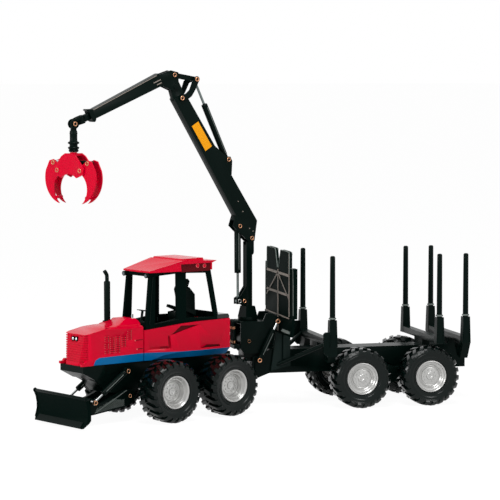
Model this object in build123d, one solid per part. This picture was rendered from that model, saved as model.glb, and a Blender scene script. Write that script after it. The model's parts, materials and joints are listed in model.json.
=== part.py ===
"""Toy forestry forwarder: two hinged units on eight wheels, a log bed, a folding crane and a front blade.

Millimetres.  Each unit has its own frame, laid out in Location form:
  rear   origin on the floor under the steering hinge, +X forward, +Y left, +Z up
  front  the rear frame turned by STEER_REST about the hinge
  crane  turned by SLEW_REST about the slew axis
  grip   under the crane tip, turned by GRIP_HEADING
At the end everything moves so that the origin is the bottom centre of the whole object's box.
"""
from build123d import *
import os
from math import atan2, cos, degrees, hypot, pi, radians, sin

# ---------------------------------------------------------------- driving dimensions
# stance
STEER_REST = 25.1          # front unit turned to the left, degrees
SLEW_REST = 20.0           # crane turned to the left of the rear unit
GRIP_HEADING = 35.0        # the claws' grip axis, in the rear frame
FIT = 0.06                 # radial gap of a turning pin in its hole
EYE_FIT = 0.17             # the same in a cylinder rod's eye, which wanders a little round its pin
RUN = 0.4                  # side gap between parts that swing past each other

# wheels
TYRE_R = 19.0              # to the lugs' tips
TYRE_WIDTH = 17.0
TYRE_WALL = 8.8            # tyre radius less rim radius
RIM_SEAT = 0.05            # the rim's gap in the tyre's bore
TREAD_DEPTH = 1.7
LUGS = 18                  # on each half of the tread, the two halves half a pitch apart
LUG_FOOT = 0.3             # half a lug's width as a share of the pitch, at its foot and at its tip
LUG_TIP = 0.2
SHOULDER_SLOPE = 5.0       # the tread falls to its edges by this angle
RIM_WIDTH = 13.0
HUB_R = 4.6
AXLE_R = 1.9
WHEEL_Y = 28.0             # wheel's middle plane from the centre line
BOGIE_PITCH = 45.5
FRONT_BOGIE_X = 54.2
REAR_BOGIE_X = -95.0
HUB_Z = TYRE_R

# rear unit
FRAME_HALF = 8.0
FRAME_BOTTOM = 21.0
FRAME_TOP = 36.0
FRAME_REAR = -150.0
FRAME_FRONT = -18.3
STAKE_R = 1.6
STAKE_Y = 33.7
STAKE_TOP = 97.0
SOCKET_TOP = 56.6
SOCKET_HALF = 2.7
BUNK_XS = (-52.5, -123.3, -140.9)
BUNK_Z = (39.8, 43.8)
BUNK_WIDTH = 5.0
ARM_XS = (-52.5, -140.9)    # bolsters whose ends hang down as arms
BOARD_X = -26.5            # headboard's front face
BOARD_THICK = 1.6
BOARD_BOTTOM = 46.0
BOARD_TOP = 99.4
BOARD_HALF = 27.0
BOARD_LOW = 57.6           # below it the panel is wider and reaches under the posts
POST_HALF = 33.2
POST_DEPTH = 2.8
POST_TOP = 89.2
RIB = 0.35                 # half width and height of the lines across the headboard
HINGE_PIN_R = 2.0
HINGE_Z = (22.4, 28.4)     # front unit's tongue

# crane base, tilting on the rear unit
TILT_X, TILT_Z = -5.0, 42.0
BASE_X = (-17.0, 0.5)
BASE_HALF = 9.0
BASE_WALL = 1.4
BASE_TOP = 54.4
BASE_BOTTOM = 34.0
HOSE_X = 3.6
HOSE_R = 0.9
RAM_Y = 11.4               # tilt cylinders beside the base
RAM_R = 1.7
RAM_FOOT = (-11.0, 30.0)
RAM_EYE = (-23.0, 54.5)

# crane, in its own turned frame: x is the reach from the slew axis
SLEW_X = -6.3
RING_R = 6.2
PILLAR_HALF = 2.2
PILLAR_TOP = 104.6
BOOM_FOOT = (-1.3, 106.8)
LIFT_TOP = (7.8, 114.8)
LIFT_LOW = (7.6, 67.1)
BOOM_HALF = 2.8
TONGUE_HALF = 1.6
BOOM_END = (51.4, 195.7)   # rocker's pin
JIB_PIN = (55.6, 202.9)
LINK_JIB = (56.3, 210.0)
ROCKER_EYE = (40.5, 207.3)
JACK_LOW = (16.4, 157.0)   # jib cylinder's lower pin
TIP = (127.0, 180.8)
PIN_R = 0.75
HEAD_R = 1.55
HEAD = 0.4
ROD_R = 0.8
JIB_TUBE = (64.0, 115.5)   # along the reach, between the cheeks and the collar
JIB_DROP = 23.5            # jib's slope below level, degrees
EXT_DEPTH = 4.0
EXT_HALF = 1.4

# grapple, under the tip
ROTATOR_TOP, ROTATOR_LOW = 171.5, 163.8
ROTATOR_R = 2.9
CLAW_Y, CLAW_Z = 9.5, 153.0
GRIP_RAM_Y, GRIP_RAM_Z = 14.4, 157.4
GRIP_MOUTH = 4.0           # the level cylinder's open end, right of the middle
GRIP_PLATE = 4.0           # frame plates, from the middle along the grip axis
GRIP_CENTRE_Z = 141.0
GRIP_R = 10.2

# front unit
NOSE_X = 129.2
HOOD_REAR = 84.0
HOOD_GAP = 0.6
HOOD_HALF = 12.2           # at its rear
GROOVE = 0.6               # depth of the grille's grooves
LOUVRE = 0.5               # depth of the louvres' panels
BODY_REAR = 20.2
BODY_BOTTOM = 36.6
BODY_KINK = 45.0           # ahead of it the sides close in
BODY_TOP = 58.8            # at the rear
WALL = 2.0
LINING = 0.8
POCKET = 1.0               # depth of the pockets in the sides
BODY_HALF_FRONT = 12.6
BODY_HALF_REAR = 16.6
SKIRT_TUCK = 2.0           # the skirt's lower edge comes in by this much
CAB_REAR = 30.0
DECK_Z = (58.8, 61.6)
ROOF_Z = 90.0
ROOF_HALF = 17.4
ROOF_LAMP_R = 1.3
SIDE_GLASS_Z = (60.3, 88.0)
EXHAUST = (96.5, -8.6)
EXHAUST_SEAT = 59.2
EXHAUST_FOOT_R = 2.9
BLADE_HALF = 26.6
BLADE_PIVOT = (94.0, 16.0)
BLADE_ARM_Y = (8.9, 10.9)     # push arms, inner and outer face
BLADE_BACK = 134.2         # where the arms meet the blade
BELLY_HALF = 8.5
DOZER_TOP = (98.0, 31.8)   # blade cylinder's upper pin
DOZER_LOW = (122.5, 14.7)
DOZER_Y = 13.0
DOZER_HALF = 1.9           # half the stack at its pins

# ---------------------------------------------------------------- small tools
def block(x, y, z):
    """Box between three (low, high) pairs."""
    size = [high - low for low, high in (x, y, z)]
    return Box(*size, align=(Align.MIN,) * 3).moved(Location((x[0], y[0], z[0])))


def plate_xz(points, y):
    """Outline of (x, z) points, thick between the two y values."""
    face = Face(Wire.make_polygon([Vector(px, y[0], pz) for px, pz in points]))
    return extrude(face, amount=y[1] - y[0], dir=(0, 1, 0))


def plate_yz(points, x):
    """Outline of (y, z) points, thick between the two x values."""
    face = Face(Wire.make_polygon([Vector(x[0], py, pz) for py, pz in points]))
    return extrude(face, amount=x[1] - x[0], dir=(1, 0, 0))


def plate_xy(points, z):
    """Outline of (x, y) points, thick between the two z values."""
    face = Face(Wire.make_polygon([Vector(px, py, z[0]) for px, py in points]))
    return extrude(face, amount=z[1] - z[0], dir=(0, 0, 1))


def rod(start, end, radius):
    """Round bar from one point to another."""
    start, end = Vector(*start), Vector(*end)
    plane = Plane(origin=start, z_dir=end - start)
    return Solid.make_cylinder(radius, (end - start).length, plane)


def cross(at, radius, y):
    """Round bar across the unit at (x, z), between the two y values."""
    return rod((at[0], y[0], at[1]), (at[0], y[1], at[1]), radius)


def bar(a, b, half, y):
    """Round-ended bar from centre a to centre b, each (x, z)."""
    mid = ((a[0] + b[0]) / 2, y[0], (a[1] + b[1]) / 2)
    plane = Plane(origin=mid, x_dir=(b[0] - a[0], 0, b[1] - a[1]), z_dir=(0, 1, 0))
    length = hypot(b[0] - a[0], b[1] - a[1])
    sketch = plane * SlotCenterToCenter(length, 2 * half)
    return extrude(sketch, amount=y[1] - y[0], dir=(0, 1, 0))


def both(make, inner, outer):
    """The same piece on both sides, between two distances from the middle."""
    return make((inner, outer)) + make((-outer, -inner))


def along(a, b, distance):
    """Point on the line from a to b, at a distance from a."""
    length = hypot(b[0] - a[0], b[1] - a[1])
    return (a[0] + (b[0] - a[0]) * distance / length, a[1] + (b[1] - a[1]) * distance / length)


nodes = {}
front = Location((0, 0, 0), (0, 0, STEER_REST))
crane = Location((SLEW_X, 0, 0), (0, 0, SLEW_REST))
tip_x = SLEW_X + TIP[0] * cos(radians(SLEW_REST))
tip_y = TIP[0] * sin(radians(SLEW_REST))
grip = Location((tip_x, tip_y, 0), (0, 0, GRIP_HEADING))
rear = Location((0, 0, 0))


def add(name, shape, frame=rear):
    """Name one node and set each of its solids in its frame."""
    solids = [solid.moved(frame) for solid in shape.solids()]
    nodes[name] = solids[0] if len(solids) == 1 else Compound(children=solids)


# ---------------------------------------------------------------- wheels and bogies
rim_r = TYRE_R - TYRE_WALL
half_width = TYRE_WIDTH / 2
half_rim = RIM_WIDTH / 2


def revolve_y(points):
    """Ring round the Y axis from an outline of (radius, y) points."""
    face = Face(Wire.make_polygon([Vector(radius, y, 0) for radius, y in points]))
    return revolve(face, Axis.Y, 360)


def tread_half(turn):
    """Toothed ring on one side of the tyre's middle plane, its flat faces turned by an angle."""
    pitch = radians(360 / LUGS)
    tip_r = TYRE_R / cos(LUG_TIP * pitch)
    corners = []
    for lug in range(LUGS):
        middle = lug * pitch + turn
        for share, radius in ((-LUG_FOOT, TYRE_R - TREAD_DEPTH), (-LUG_TIP, tip_r), (LUG_TIP, tip_r),
                              (LUG_FOOT, TYRE_R - TREAD_DEPTH)):
            angle = middle + share * pitch
            corners.append((radius * sin(angle), -radius * cos(angle)))
    face = Face(Wire.make_polygon([Vector(x, 0, z) for x, z in corners]))
    return extrude(face, amount=half_width, dir=(0, 1, 0), taper=SHOULDER_SLOPE)


def tyre():
    """Two halves of the tread, staggered, round a many-sided bore that the rim fills."""
    bore = extrude(Plane.XZ * RegularPolygon(rim_r + RIM_SEAT, LUGS, major_radius=False), amount=TYRE_WIDTH, both=True)
    outer = tread_half(0)
    inner = tread_half(pi / LUGS).mirror(Plane.XZ)
    return outer + inner - bore


def rim(dish):
    """Dished rim, its disc set in from the outer face by dish, with a hub that takes the axle."""
    disc = half_rim - dish
    shell = revolve_y([
        (AXLE_R + FIT, disc - 6.0), (HUB_R, disc - 6.0), (HUB_R + 0.4, disc - 1.6),
        (rim_r - 1.4, disc - 1.6), (rim_r - 1.4, -half_rim), (rim_r, -half_rim),
        (rim_r, half_rim), (rim_r - 0.9, half_rim), (rim_r - 1.6, disc),
        (HUB_R + 0.6, disc), (HUB_R, disc + 1.4), (1.0, disc + 1.4), (1.0, disc - 0.9),
        (AXLE_R + FIT, disc - 0.9)])
    return shell + revolve_y([(0, disc - 0.9), (1.0, disc - 0.9), (1.0, disc + 1.4), (0, disc + 1.4)])


# unit, its frame, bogie centre, how deep the rim's disc lies
UNITS = (("front", front, FRONT_BOGIE_X, 5.2), ("rear", rear, REAR_BOGIE_X, 2.6))
wheel_places = {}
for unit, frame, bogie_x, dish in UNITS:
    for row, x in (("fore", bogie_x + BOGIE_PITCH / 2), ("aft", bogie_x - BOGIE_PITCH / 2)):
        for side, sign in (("left", 1), ("right", -1)):
            name = f"{unit}_{row}_{side}"
            turn = Location((x, sign * WHEEL_Y, HUB_Z), (0, 0, 0 if sign > 0 else 180))
            add(f"{name}_tyre", tyre().moved(turn), frame)
            add(f"{name}_rim", rim(dish).moved(turn), frame)
            wheel_places[name] = (frame, (x, sign * WHEEL_Y, HUB_Z))


def bogies(bogie_x, dish):
    """Both bogie beams, the cross axle between them and the four axle stubs."""
    hub_face = WHEEL_Y + half_rim - dish - 0.9
    beam_outer = WHEEL_Y - half_width - 1.2
    beam_inner = beam_outer - 5.2
    fore, aft = bogie_x + BOGIE_PITCH / 2, bogie_x - BOGIE_PITCH / 2
    axle = cross((bogie_x, HUB_Z), 3.6, (-beam_inner, beam_inner))
    axle += revolve_y([(0, -6.5), (3.6, -6.5), (6.4, -3), (6.4, 3), (3.6, 6.5), (0, 6.5)]).moved(
        Location((bogie_x, 0, HUB_Z)))
    for sign in (1, -1):
        low, high = sorted((sign * beam_inner, sign * beam_outer))
        axle += bar((fore, HUB_Z), (aft, HUB_Z), 4.6, (low, high))
        axle += cross((bogie_x, HUB_Z), 5.8, (low, high))
        for x in (fore, aft):
            low, high = sorted((sign * beam_inner, sign * (hub_face - 0.3)))
            axle += cross((x, HUB_Z), AXLE_R, (low, high))
            low, high = sorted((sign * beam_inner, sign * (beam_outer + 0.7)))
            axle += cross((x, HUB_Z), 3.4, (low, high))
    return axle


for unit, frame, bogie_x, dish in UNITS:
    add(f"{unit}_bogies", bogies(bogie_x, dish), frame)

# ---------------------------------------------------------------- rear unit
axle_gap = 0.3


def rear_frame():
    beam = block((FRAME_REAR, FRAME_FRONT), (-FRAME_HALF, FRAME_HALF), (FRAME_BOTTOM, FRAME_TOP))
    # the front end drops to the hinge, with a fork of two round-ended plates
    nose = plate_xz([(FRAME_FRONT, FRAME_BOTTOM), (-10.4, 18.0), (-7.5, 18.0), (-7.5, 31.6),
                     (-12, 33.0), (FRAME_FRONT, FRAME_TOP)], (-FRAME_HALF, FRAME_HALF))
    lower = block((-8, 0), (-5.6, 5.6), (18.0, HINGE_Z[0] - RUN)) + rod((0, 0, 18.0), (0, 0, HINGE_Z[0] - RUN), 5.6)
    upper = block((-8, 0), (-5.6, 5.6), (HINGE_Z[1] + RUN, 31.6)) + rod((0, 0, HINGE_Z[1] + RUN), (0, 0, 31.6), 5.6)
    pin = rod((0, 0, 18.0), (0, 0, 31.6), HINGE_PIN_R)
    cheeks = both(lambda y: plate_xz([(-22.5, 48.2), (BOARD_X, BOARD_BOTTOM), (-31.5, BOARD_BOTTOM),
                                      (-32.2, 25.2), (-18.8, 22.1)], y),
                  FRAME_HALF, FRAME_HALF + 1.6)
    post = block((-12.5, -2.0), (-BASE_HALF + BASE_WALL + RUN, BASE_HALF - BASE_WALL - RUN), (31.6, 40.0))
    post += cross((TILT_X, TILT_Z), 4.6, (-BASE_HALF + BASE_WALL + RUN, BASE_HALF - BASE_WALL - RUN))
    post -= cross((TILT_X, TILT_Z), PIN_R + FIT, (-20, 20))
    feet = both(lambda y: bar(RAM_FOOT, (RAM_FOOT[0], 24.0), 2.2, y), FRAME_HALF, RAM_Y - RAM_R - 0.1)
    feet += both(lambda y: cross(RAM_FOOT, PIN_R, y), FRAME_HALF, RAM_Y + 1.3)
    (x0, y0, z0), (x1, y1, z1) = BRACE
    braces = rod((x0, y0, z0), (x1, y1, z1), BRACE_R) + rod((x0, -y0, z0), (x1, -y1, z1), BRACE_R)
    braces -= block((x1 - 5, BUNK_XS[0] + BUNK_WIDTH / 2), (-40, 40), (20, 60))
    # the cross axle runs under the beam through a notch
    notch = cross((REAR_BOGIE_X, HUB_Z), 6.4 + axle_gap, (-20, 20))
    return beam + nose + lower + upper + pin + cheeks + post + feet + braces - notch


# lines across the headboard's face, each from (y, z) to (y, z)
RIBS = (((-26.6, 84.4), (26.6, 84.4)), ((-26.6, 71.9), (26.6, 71.9)), ((0, 84.4), (0, 47.0)),
        ((0, 84.4), (26.5, 70.2)), ((0, 84.4), (-26.5, 70.2)))


def rib(a, b):
    """Raised line on the headboard's front face."""
    length = hypot(b[0] - a[0], b[1] - a[1])
    side = ((a[1] - b[1]) * RIB / length, (b[0] - a[0]) * RIB / length)
    outline = [(a[0] + side[0], a[1] + side[1]), (b[0] + side[0], b[1] + side[1]),
               (b[0] - side[0], b[1] - side[1]), (a[0] - side[0], a[1] - side[1])]
    return plate_yz(outline, (BOARD_X - RIB, BOARD_X + RIB))


def headboard():
    """Panel with a notch in its top, on a wider foot, with a post on each side."""
    rear_face = BOARD_X - BOARD_THICK
    notch_half, notch_foot, corner = 8.6, 88.0, 2.4
    outline = [(-BOARD_HALF, BOARD_LOW), (-BOARD_HALF, BOARD_TOP - corner), (-BOARD_HALF + corner, BOARD_TOP),
               (-notch_half, BOARD_TOP), (-1.4, notch_foot), (1.4, notch_foot), (notch_half, BOARD_TOP),
               (BOARD_HALF - corner, BOARD_TOP), (BOARD_HALF, BOARD_TOP - corner), (BOARD_HALF, BOARD_LOW)]
    panel = plate_yz(outline, (rear_face, BOARD_X))
    foot_half = POST_HALF - 2.4
    panel += plate_yz([(-POST_HALF, BOARD_LOW), (-foot_half, BOARD_BOTTOM), (foot_half, BOARD_BOTTOM),
                       (POST_HALF, BOARD_LOW)], (rear_face, BOARD_X))
    for start, end in RIBS:
        panel += rib(start, end)
    for sign in (1, -1):
        low, high = sorted((sign * BOARD_HALF, sign * POST_HALF))
        panel += block((BOARD_X - 0.5 - POST_DEPTH, BOARD_X - 0.5), (low, high), (BOARD_LOW, POST_TOP))
        low, high = sorted((sign * (FRAME_HALF + 1.6), sign * (FRAME_HALF + 3.2)))
        panel += plate_xz([(BOARD_X, 52), (BOARD_X, 30), (-31.5, 30), (-31.5, 52)], (low, high))
    return panel


# (distance from the middle, z) round a bolster's arm
ARM = ((19.0, BUNK_Z[0]), (25.4, 30.6), (31.0, 29.6), (33.4, 34.0), (36.4, BUNK_Z[0]), (36.4, BUNK_Z[1]),
       (19.0, BUNK_Z[1]))
# round brace from the frame's side up to the first bolster
BRACE = ((-20.7, 6.5, 24.7), (-51.0, 30.1, 42.0))
BRACE_R = 1.3


def bunks():
    """Cross bolsters on the frame, each with an upright and a stake socket at both ends."""
    made = []
    half = BUNK_WIDTH / 2
    for x in BUNK_XS:
        beam = block((x - half, x + half), (-STAKE_Y - SOCKET_HALF, STAKE_Y + SOCKET_HALF), BUNK_Z)
        beam += block((x - half, x + half), (-FRAME_HALF, FRAME_HALF), (FRAME_TOP, BUNK_Z[0]))
        for sign in (1, -1):
            y = sign * STAKE_Y
            beam += block((x - SOCKET_HALF, x + SOCKET_HALF), (y - SOCKET_HALF, y + SOCKET_HALF),
                          (BUNK_Z[0], SOCKET_TOP))
            if x in ARM_XS:
                beam += plate_yz([(sign * across, z) for across, z in ARM], (x - half, x + half))
        beam -= rod((x, STAKE_Y, BUNK_Z[1]), (x, STAKE_Y, SOCKET_TOP + 1), STAKE_R + 0.04)
        beam -= rod((x, -STAKE_Y, BUNK_Z[1]), (x, -STAKE_Y, SOCKET_TOP + 1), STAKE_R + 0.04)
        made.append(beam)
    return Compound(children=made)


def stakes():
    return Compound(children=[rod((x, y, BUNK_Z[1]), (x, y, STAKE_TOP), STAKE_R)
                              for x in BUNK_XS for y in (STAKE_Y, -STAKE_Y)])


add("rear_frame", rear_frame())
add("headboard", headboard())
add("bunks", bunks())
add("stakes", stakes())

# ---------------------------------------------------------------- crane base and its tilt cylinders
def crane_base():
    top = block(BASE_X, (-BASE_HALF, BASE_HALF), (BASE_TOP - 2.0, BASE_TOP))
    side = [(BASE_X[1], BASE_TOP), (BASE_X[1], 37.0), (-2.0, BASE_BOTTOM), (-12.0, BASE_BOTTOM),
            (BASE_X[0], 44.0), (-22.0, 52.0), (-24.5, 53.0), (-24.5, 56.5), (-20.0, 59.0), (-16.0, 59.0),
            (-14.0, BASE_TOP)]
    shell = top + both(lambda y: plate_xz(side, y), BASE_HALF - BASE_WALL, BASE_HALF)
    shell += both(lambda y: cross(RAM_EYE, PIN_R, y), BASE_HALF, RAM_Y + 1.3)
    pin = cross((TILT_X, TILT_Z), PIN_R, (-BASE_HALF, BASE_HALF))
    return shell + pin + both(lambda y: cross((TILT_X, TILT_Z), HEAD_R, y), BASE_HALF, BASE_HALF + HEAD)


def cylinder(foot, eye, gland, barrel_r, y, eye_half):
    """Barrel with an eye on its foot pin, from foot towards eye, ending at the gland; and its rod."""
    mid = (y[0] + y[1]) / 2
    start = along(foot, eye, 1.6)
    end = along(foot, eye, gland)
    barrel = rod((start[0], mid, start[1]), (end[0], mid, end[1]), barrel_r)
    barrel += cross(foot, 1.9, (mid - eye_half, mid + eye_half))
    barrel -= cross(foot, PIN_R + FIT, (mid - 5, mid + 5))
    bore = along(foot, eye, 4.0)
    barrel -= rod((bore[0], mid, bore[1]), (eye[0], mid, eye[1]), ROD_R + FIT)
    return barrel


def piston(foot, eye, inner, y, eye_half, hole):
    """Rod from inside the barrel to its eye."""
    mid = (y[0] + y[1]) / 2
    start = along(foot, eye, inner)
    shaft = rod((start[0], mid, start[1]), (eye[0], mid, eye[1]), ROD_R)
    shaft += cross(eye, 1.6, (mid - eye_half, mid + eye_half))
    if hole:
        shaft -= cross(eye, PIN_R + EYE_FIT, (mid - 5, mid + 5))
    return shaft


ram_sides = ((RAM_Y, RAM_Y), (-RAM_Y, -RAM_Y))
add("crane_base", crane_base())
add("tilt_barrels", Compound(children=[cylinder(RAM_FOOT, RAM_EYE, 17.0, RAM_R, y, 1.2) for y in ram_sides]))
add("tilt_rods", Compound(children=[piston(RAM_FOOT, RAM_EYE, 10.0, y, 1.2, True) for y in ram_sides]))

# ---------------------------------------------------------------- crane

def crane_pillar():
    ring = rod((0, 0, BASE_TOP), (0, 0, BASE_TOP + 2.4), RING_R)
    foot = loft([Plane(origin=(0, 0, BASE_TOP + 2.4)) * Rectangle(9.0, 9.0),
                 Plane(origin=(0, 0, 63.6)) * Rectangle(6.8, 6.8)])
    column = block((-PILLAR_HALF, PILLAR_HALF), (-2.0, 2.0), (63.0, PILLAR_TOP))
    head = both(lambda y: bar((BOOM_FOOT[0], 98.0), BOOM_FOOT, 2.2, y), 1.2, 2.0)
    column -= block((-6, 6), (-1.2, 1.2), (102.5, 120))
    lug = both(lambda y: plate_xz([(2.0, 76.5), (2.0, 63.0), (5.8, 65.2), (9.4, 65.2),
                                   (9.4, 69.0), (6.5, 70.5)], y), 1.1, 1.9)
    lug += both(lambda y: cross(LIFT_LOW, HEAD_R, y), 1.9, 1.9 + HEAD)
    made = ring + foot + column + head + lug
    made -= cross(BOOM_FOOT, PIN_R + FIT, (-5, 5))
    return made


def main_boom():
    side = [(-3.4, 104.9), (-5.4, 117.8), (46.3, 195.1), (50.2, 198.6), (56.9, 195.2), (10.7, 121.6),
            (13.0, 115.0), (9.6, 111.8), (1.0, 104.6)]
    made = plate_xz(side, (-BOOM_HALF, BOOM_HALF))
    # foot and lift cylinder's lugs are forks
    made -= plate_xz([(-8, 100), (-8, 110.4), (3.4, 113.4), (3.4, 100)], (-2.2, 2.2))
    made -= plate_xz([(3.0, 100), (3.0, 118.4), (15, 118.4), (15, 100)], (-2.1, 2.1))
    made += plate_xz([(49.0, 193.4), (48.6, 198.2), (53.0, 206.4), (58.4, 204.6), (58.4, 200.0), (56.5, 194.0)],
                     (-TONGUE_HALF, TONGUE_HALF))
    bracket = [(14.1, 147.2), (13.6, 156.0), (15.0, 158.8), (18.0, 159.0), (27.0, 166.0)]
    made += both(lambda y: plate_xz(bracket, y), 1.9, BOOM_HALF)
    made += cross(JACK_LOW, PIN_R, (-BOOM_HALF, BOOM_HALF))
    made += cross(LIFT_TOP, PIN_R, (-BOOM_HALF, BOOM_HALF))
    made += cross(BOOM_FOOT, PIN_R, (-BOOM_HALF, BOOM_HALF))
    for at in (JACK_LOW, LIFT_TOP, BOOM_FOOT):
        made += both(lambda y: cross(at, HEAD_R, y), BOOM_HALF, BOOM_HALF + HEAD)
    made -= cross(JIB_PIN, PIN_R + FIT, (-5, 5))
    made -= cross(BOOM_END, PIN_R + FIT, (-5, 5))
    return made


jib_slope = radians(JIB_DROP)
jib_x = Vector(cos(jib_slope), 0, -sin(jib_slope))
tube_end = JIB_TUBE[1]


def on_jib(reach, rise=0.0):
    """Point (x, z) on the jib's line through the tip pin, at a reach, raised square to the line."""
    z = TIP[1] + (TIP[0] - reach) * sin(jib_slope) / cos(jib_slope)
    return (reach + rise * sin(jib_slope), z + rise * cos(jib_slope))


def jib():
    cheek = [(53.2, 201.6), (53.6, 211.6), (59.0, 212.8), on_jib(70, 3.6), on_jib(70, -3.6), (65.0, 203.2), (57.6, 200.2)]
    made = both(lambda y: plate_xz(cheek, y), TONGUE_HALF + 0.2, TONGUE_HALF + 0.9)
    outer = [on_jib(66, 3.9), on_jib(tube_end, 2.9), on_jib(tube_end, -2.9), on_jib(66, -3.9)]
    made += plate_xz(outer, (-TONGUE_HALF - 0.9, TONGUE_HALF + 0.9))
    collar = [on_jib(tube_end - 1.5, 3.4), on_jib(tube_end + 1.0, 3.4), on_jib(tube_end + 1.0, -3.4),
              on_jib(tube_end - 1.5, -3.4)]
    made += plate_xz(collar, (-2.9, 2.9))
    half = EXT_DEPTH / 2 + FIT
    bore = [on_jib(74, half), on_jib(130, half), on_jib(130, -half), on_jib(74, -half)]
    made -= plate_xz(bore, (-EXT_HALF - FIT, EXT_HALF + FIT))
    for at in (JIB_PIN, LINK_JIB):
        made += cross(at, PIN_R, (-TONGUE_HALF - 0.9, TONGUE_HALF + 0.9))
        made += both(lambda y: cross(at, HEAD_R, y), TONGUE_HALF + 0.9, TONGUE_HALF + 0.9 + HEAD)
    return made


def jib_extension():
    half = EXT_DEPTH / 2
    beam = plate_xz([on_jib(80, half), on_jib(122.5, half), on_jib(122.5, -half), on_jib(80, -half)],
                    (-EXT_HALF, EXT_HALF))
    ends = both(lambda y: bar(on_jib(121, 0), TIP, 1.9, y), 1.0, 1.9)
    ends += both(lambda y: cross(TIP, HEAD_R, y), 1.9, 1.9 + HEAD)
    return beam + ends + cross(TIP, PIN_R, (-1.9, 1.9))


rocker_inner = BOOM_HALF + 0.15


def jib_rocker():
    plates = both(lambda y: bar(BOOM_END, ROCKER_EYE, 1.9, y), rocker_inner, rocker_inner + 0.7)
    outer = rocker_inner + 0.7
    plates += both(lambda y: cross(BOOM_END, HEAD_R, y), outer, outer + HEAD)
    plates += both(lambda y: cross(ROCKER_EYE, HEAD_R, y), outer, outer + HEAD)
    return plates + cross(BOOM_END, PIN_R, (-outer, outer))


def jib_link():
    sides = both(lambda y: bar(ROCKER_EYE, LINK_JIB, 1.5, y), 0.95, 1.55)
    mid = ((ROCKER_EYE[0] + LINK_JIB[0]) / 2, (ROCKER_EYE[1] + LINK_JIB[1]) / 2)
    sides += bar(along(LINK_JIB, ROCKER_EYE, 4.5), along(LINK_JIB, ROCKER_EYE, 7.0), 1.0, (-0.95, 0.95))
    return sides - cross(LINK_JIB, PIN_R + FIT, (-5, 5))


middle = (0.0, 0.0)
add("crane_pillar", crane_pillar(), crane)
add("main_boom", main_boom(), crane)
add("lift_barrel", cylinder(LIFT_TOP, LIFT_LOW, 29.7, 1.95, middle, 1.4), crane)
add("lift_rod", piston(LIFT_TOP, LIFT_LOW, 22.0, middle, 0.8, False), crane)
add("jib", jib(), crane)
add("jib_extension", jib_extension(), crane)
add("jib_rocker", jib_rocker(), crane)
add("jib_link", jib_link(), crane)
add("jib_barrel", cylinder(JACK_LOW, ROCKER_EYE, 38.2, 1.7, middle, 1.4), crane)
add("jib_rod", piston(JACK_LOW, ROCKER_EYE, 29.0, middle, 0.8, False), crane)

# ---------------------------------------------------------------- hanger and grapple
def hanger():
    eye = bar(TIP, (TIP[0], ROTATOR_TOP + 1), 1.6, (-0.95, 0.95)) - cross(TIP, PIN_R + FIT, (-5, 5))
    return eye + rod((TIP[0], 0, ROTATOR_LOW + 0.1), (TIP[0], 0, ROTATOR_TOP), ROTATOR_R)


def arc_points(centre, radius, start, end, steps):
    """Points on an arc of (y, z), degrees from +Y towards +Z."""
    angles = [radians(start + (end - start) * n / steps) for n in range(steps + 1)]
    return [(centre[0] + radius * cos(a), centre[1] + radius * sin(a)) for a in angles]


def grapple_frame():
    inner = arc_points((0, GRIP_CENTRE_Z), GRIP_R - 0.4, 130, 50, 8)
    outline = inner + [(CLAW_Y + 2.4, CLAW_Z - 2.4), (CLAW_Y + 2.8, CLAW_Z + 1.5), (6.0, 161.5), (3.0, 163.2),
                       (-3.0, 163.2), (-6.0, 161.5), (-CLAW_Y - 2.8, CLAW_Z + 1.5), (-CLAW_Y - 2.4, CLAW_Z - 2.4)]
    made = plate_yz(outline, (GRIP_PLATE - 0.5, GRIP_PLATE + 0.5))
    made += plate_yz(outline, (-GRIP_PLATE - 0.5, -GRIP_PLATE + 0.5))
    made += block((-GRIP_PLATE, GRIP_PLATE), (-3.4, 3.4), (161.7, 163.2))
    made += rod((0, 0, 163.0), (0, 0, ROTATOR_LOW), 2.2)
    for y in (CLAW_Y, -CLAW_Y):
        made += rod((-GRIP_PLATE - 0.5, y, CLAW_Z), (GRIP_PLATE + 0.5, y, CLAW_Z), PIN_R)
        for low, high in ((-GRIP_PLATE - 0.9, -GRIP_PLATE - 0.5), (GRIP_PLATE + 0.5, GRIP_PLATE + 0.9)):
            made += rod((low, y, CLAW_Z), (high, y, CLAW_Z), HEAD_R)
    return made


# a claw's outline as (y, z): three points on its outer arc, its tip, and a point on its inner arc
CLAW_BACK = ((20.6, 153.0), (20.0, 142.0), (9.6, 133.0))
CLAW_BELLY = ((9.6, 133.0), (13.9, 143.0), (8.3, 151.2))
CLAW_HEAD = ((8.3, 151.2), (7.7, 154.6), (14.4, 159.4), (17.6, 158.6), (20.6, 153.0))


def claw(sign):
    """One pointed claw of two plates, on its pin in the frame."""
    arcs = [Edge.make_three_point_arc(*[Vector(0, sign * y, z) for y, z in arc]) for arc in (CLAW_BACK, CLAW_BELLY)]
    head = [Edge.make_line(Vector(0, sign * a[0], a[1]), Vector(0, sign * b[0], b[1]))
            for a, b in zip(CLAW_HEAD, CLAW_HEAD[1:])]
    face = Face(Wire(arcs + head))
    inside, outside = GRIP_PLATE - 1.9, GRIP_PLATE - 0.9
    plate = extrude(face, amount=outside - inside, dir=(1, 0, 0))
    made = plate.moved(Location((inside, 0, 0))) + plate.moved(Location((-outside, 0, 0)))
    made += rod((-inside, sign * 16.6, 146.0), (inside, sign * 16.6, 146.0), 1.2)
    made += rod((-inside, sign * 12.2, 136.6), (inside, sign * 12.2, 136.6), 1.0)
    made -= rod((-9, sign * CLAW_Y, CLAW_Z), (9, sign * CLAW_Y, CLAW_Z), PIN_R + FIT)
    made += rod((-outside, sign * GRIP_RAM_Y, GRIP_RAM_Z), (outside, sign * GRIP_RAM_Y, GRIP_RAM_Z), PIN_R)
    return made


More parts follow.
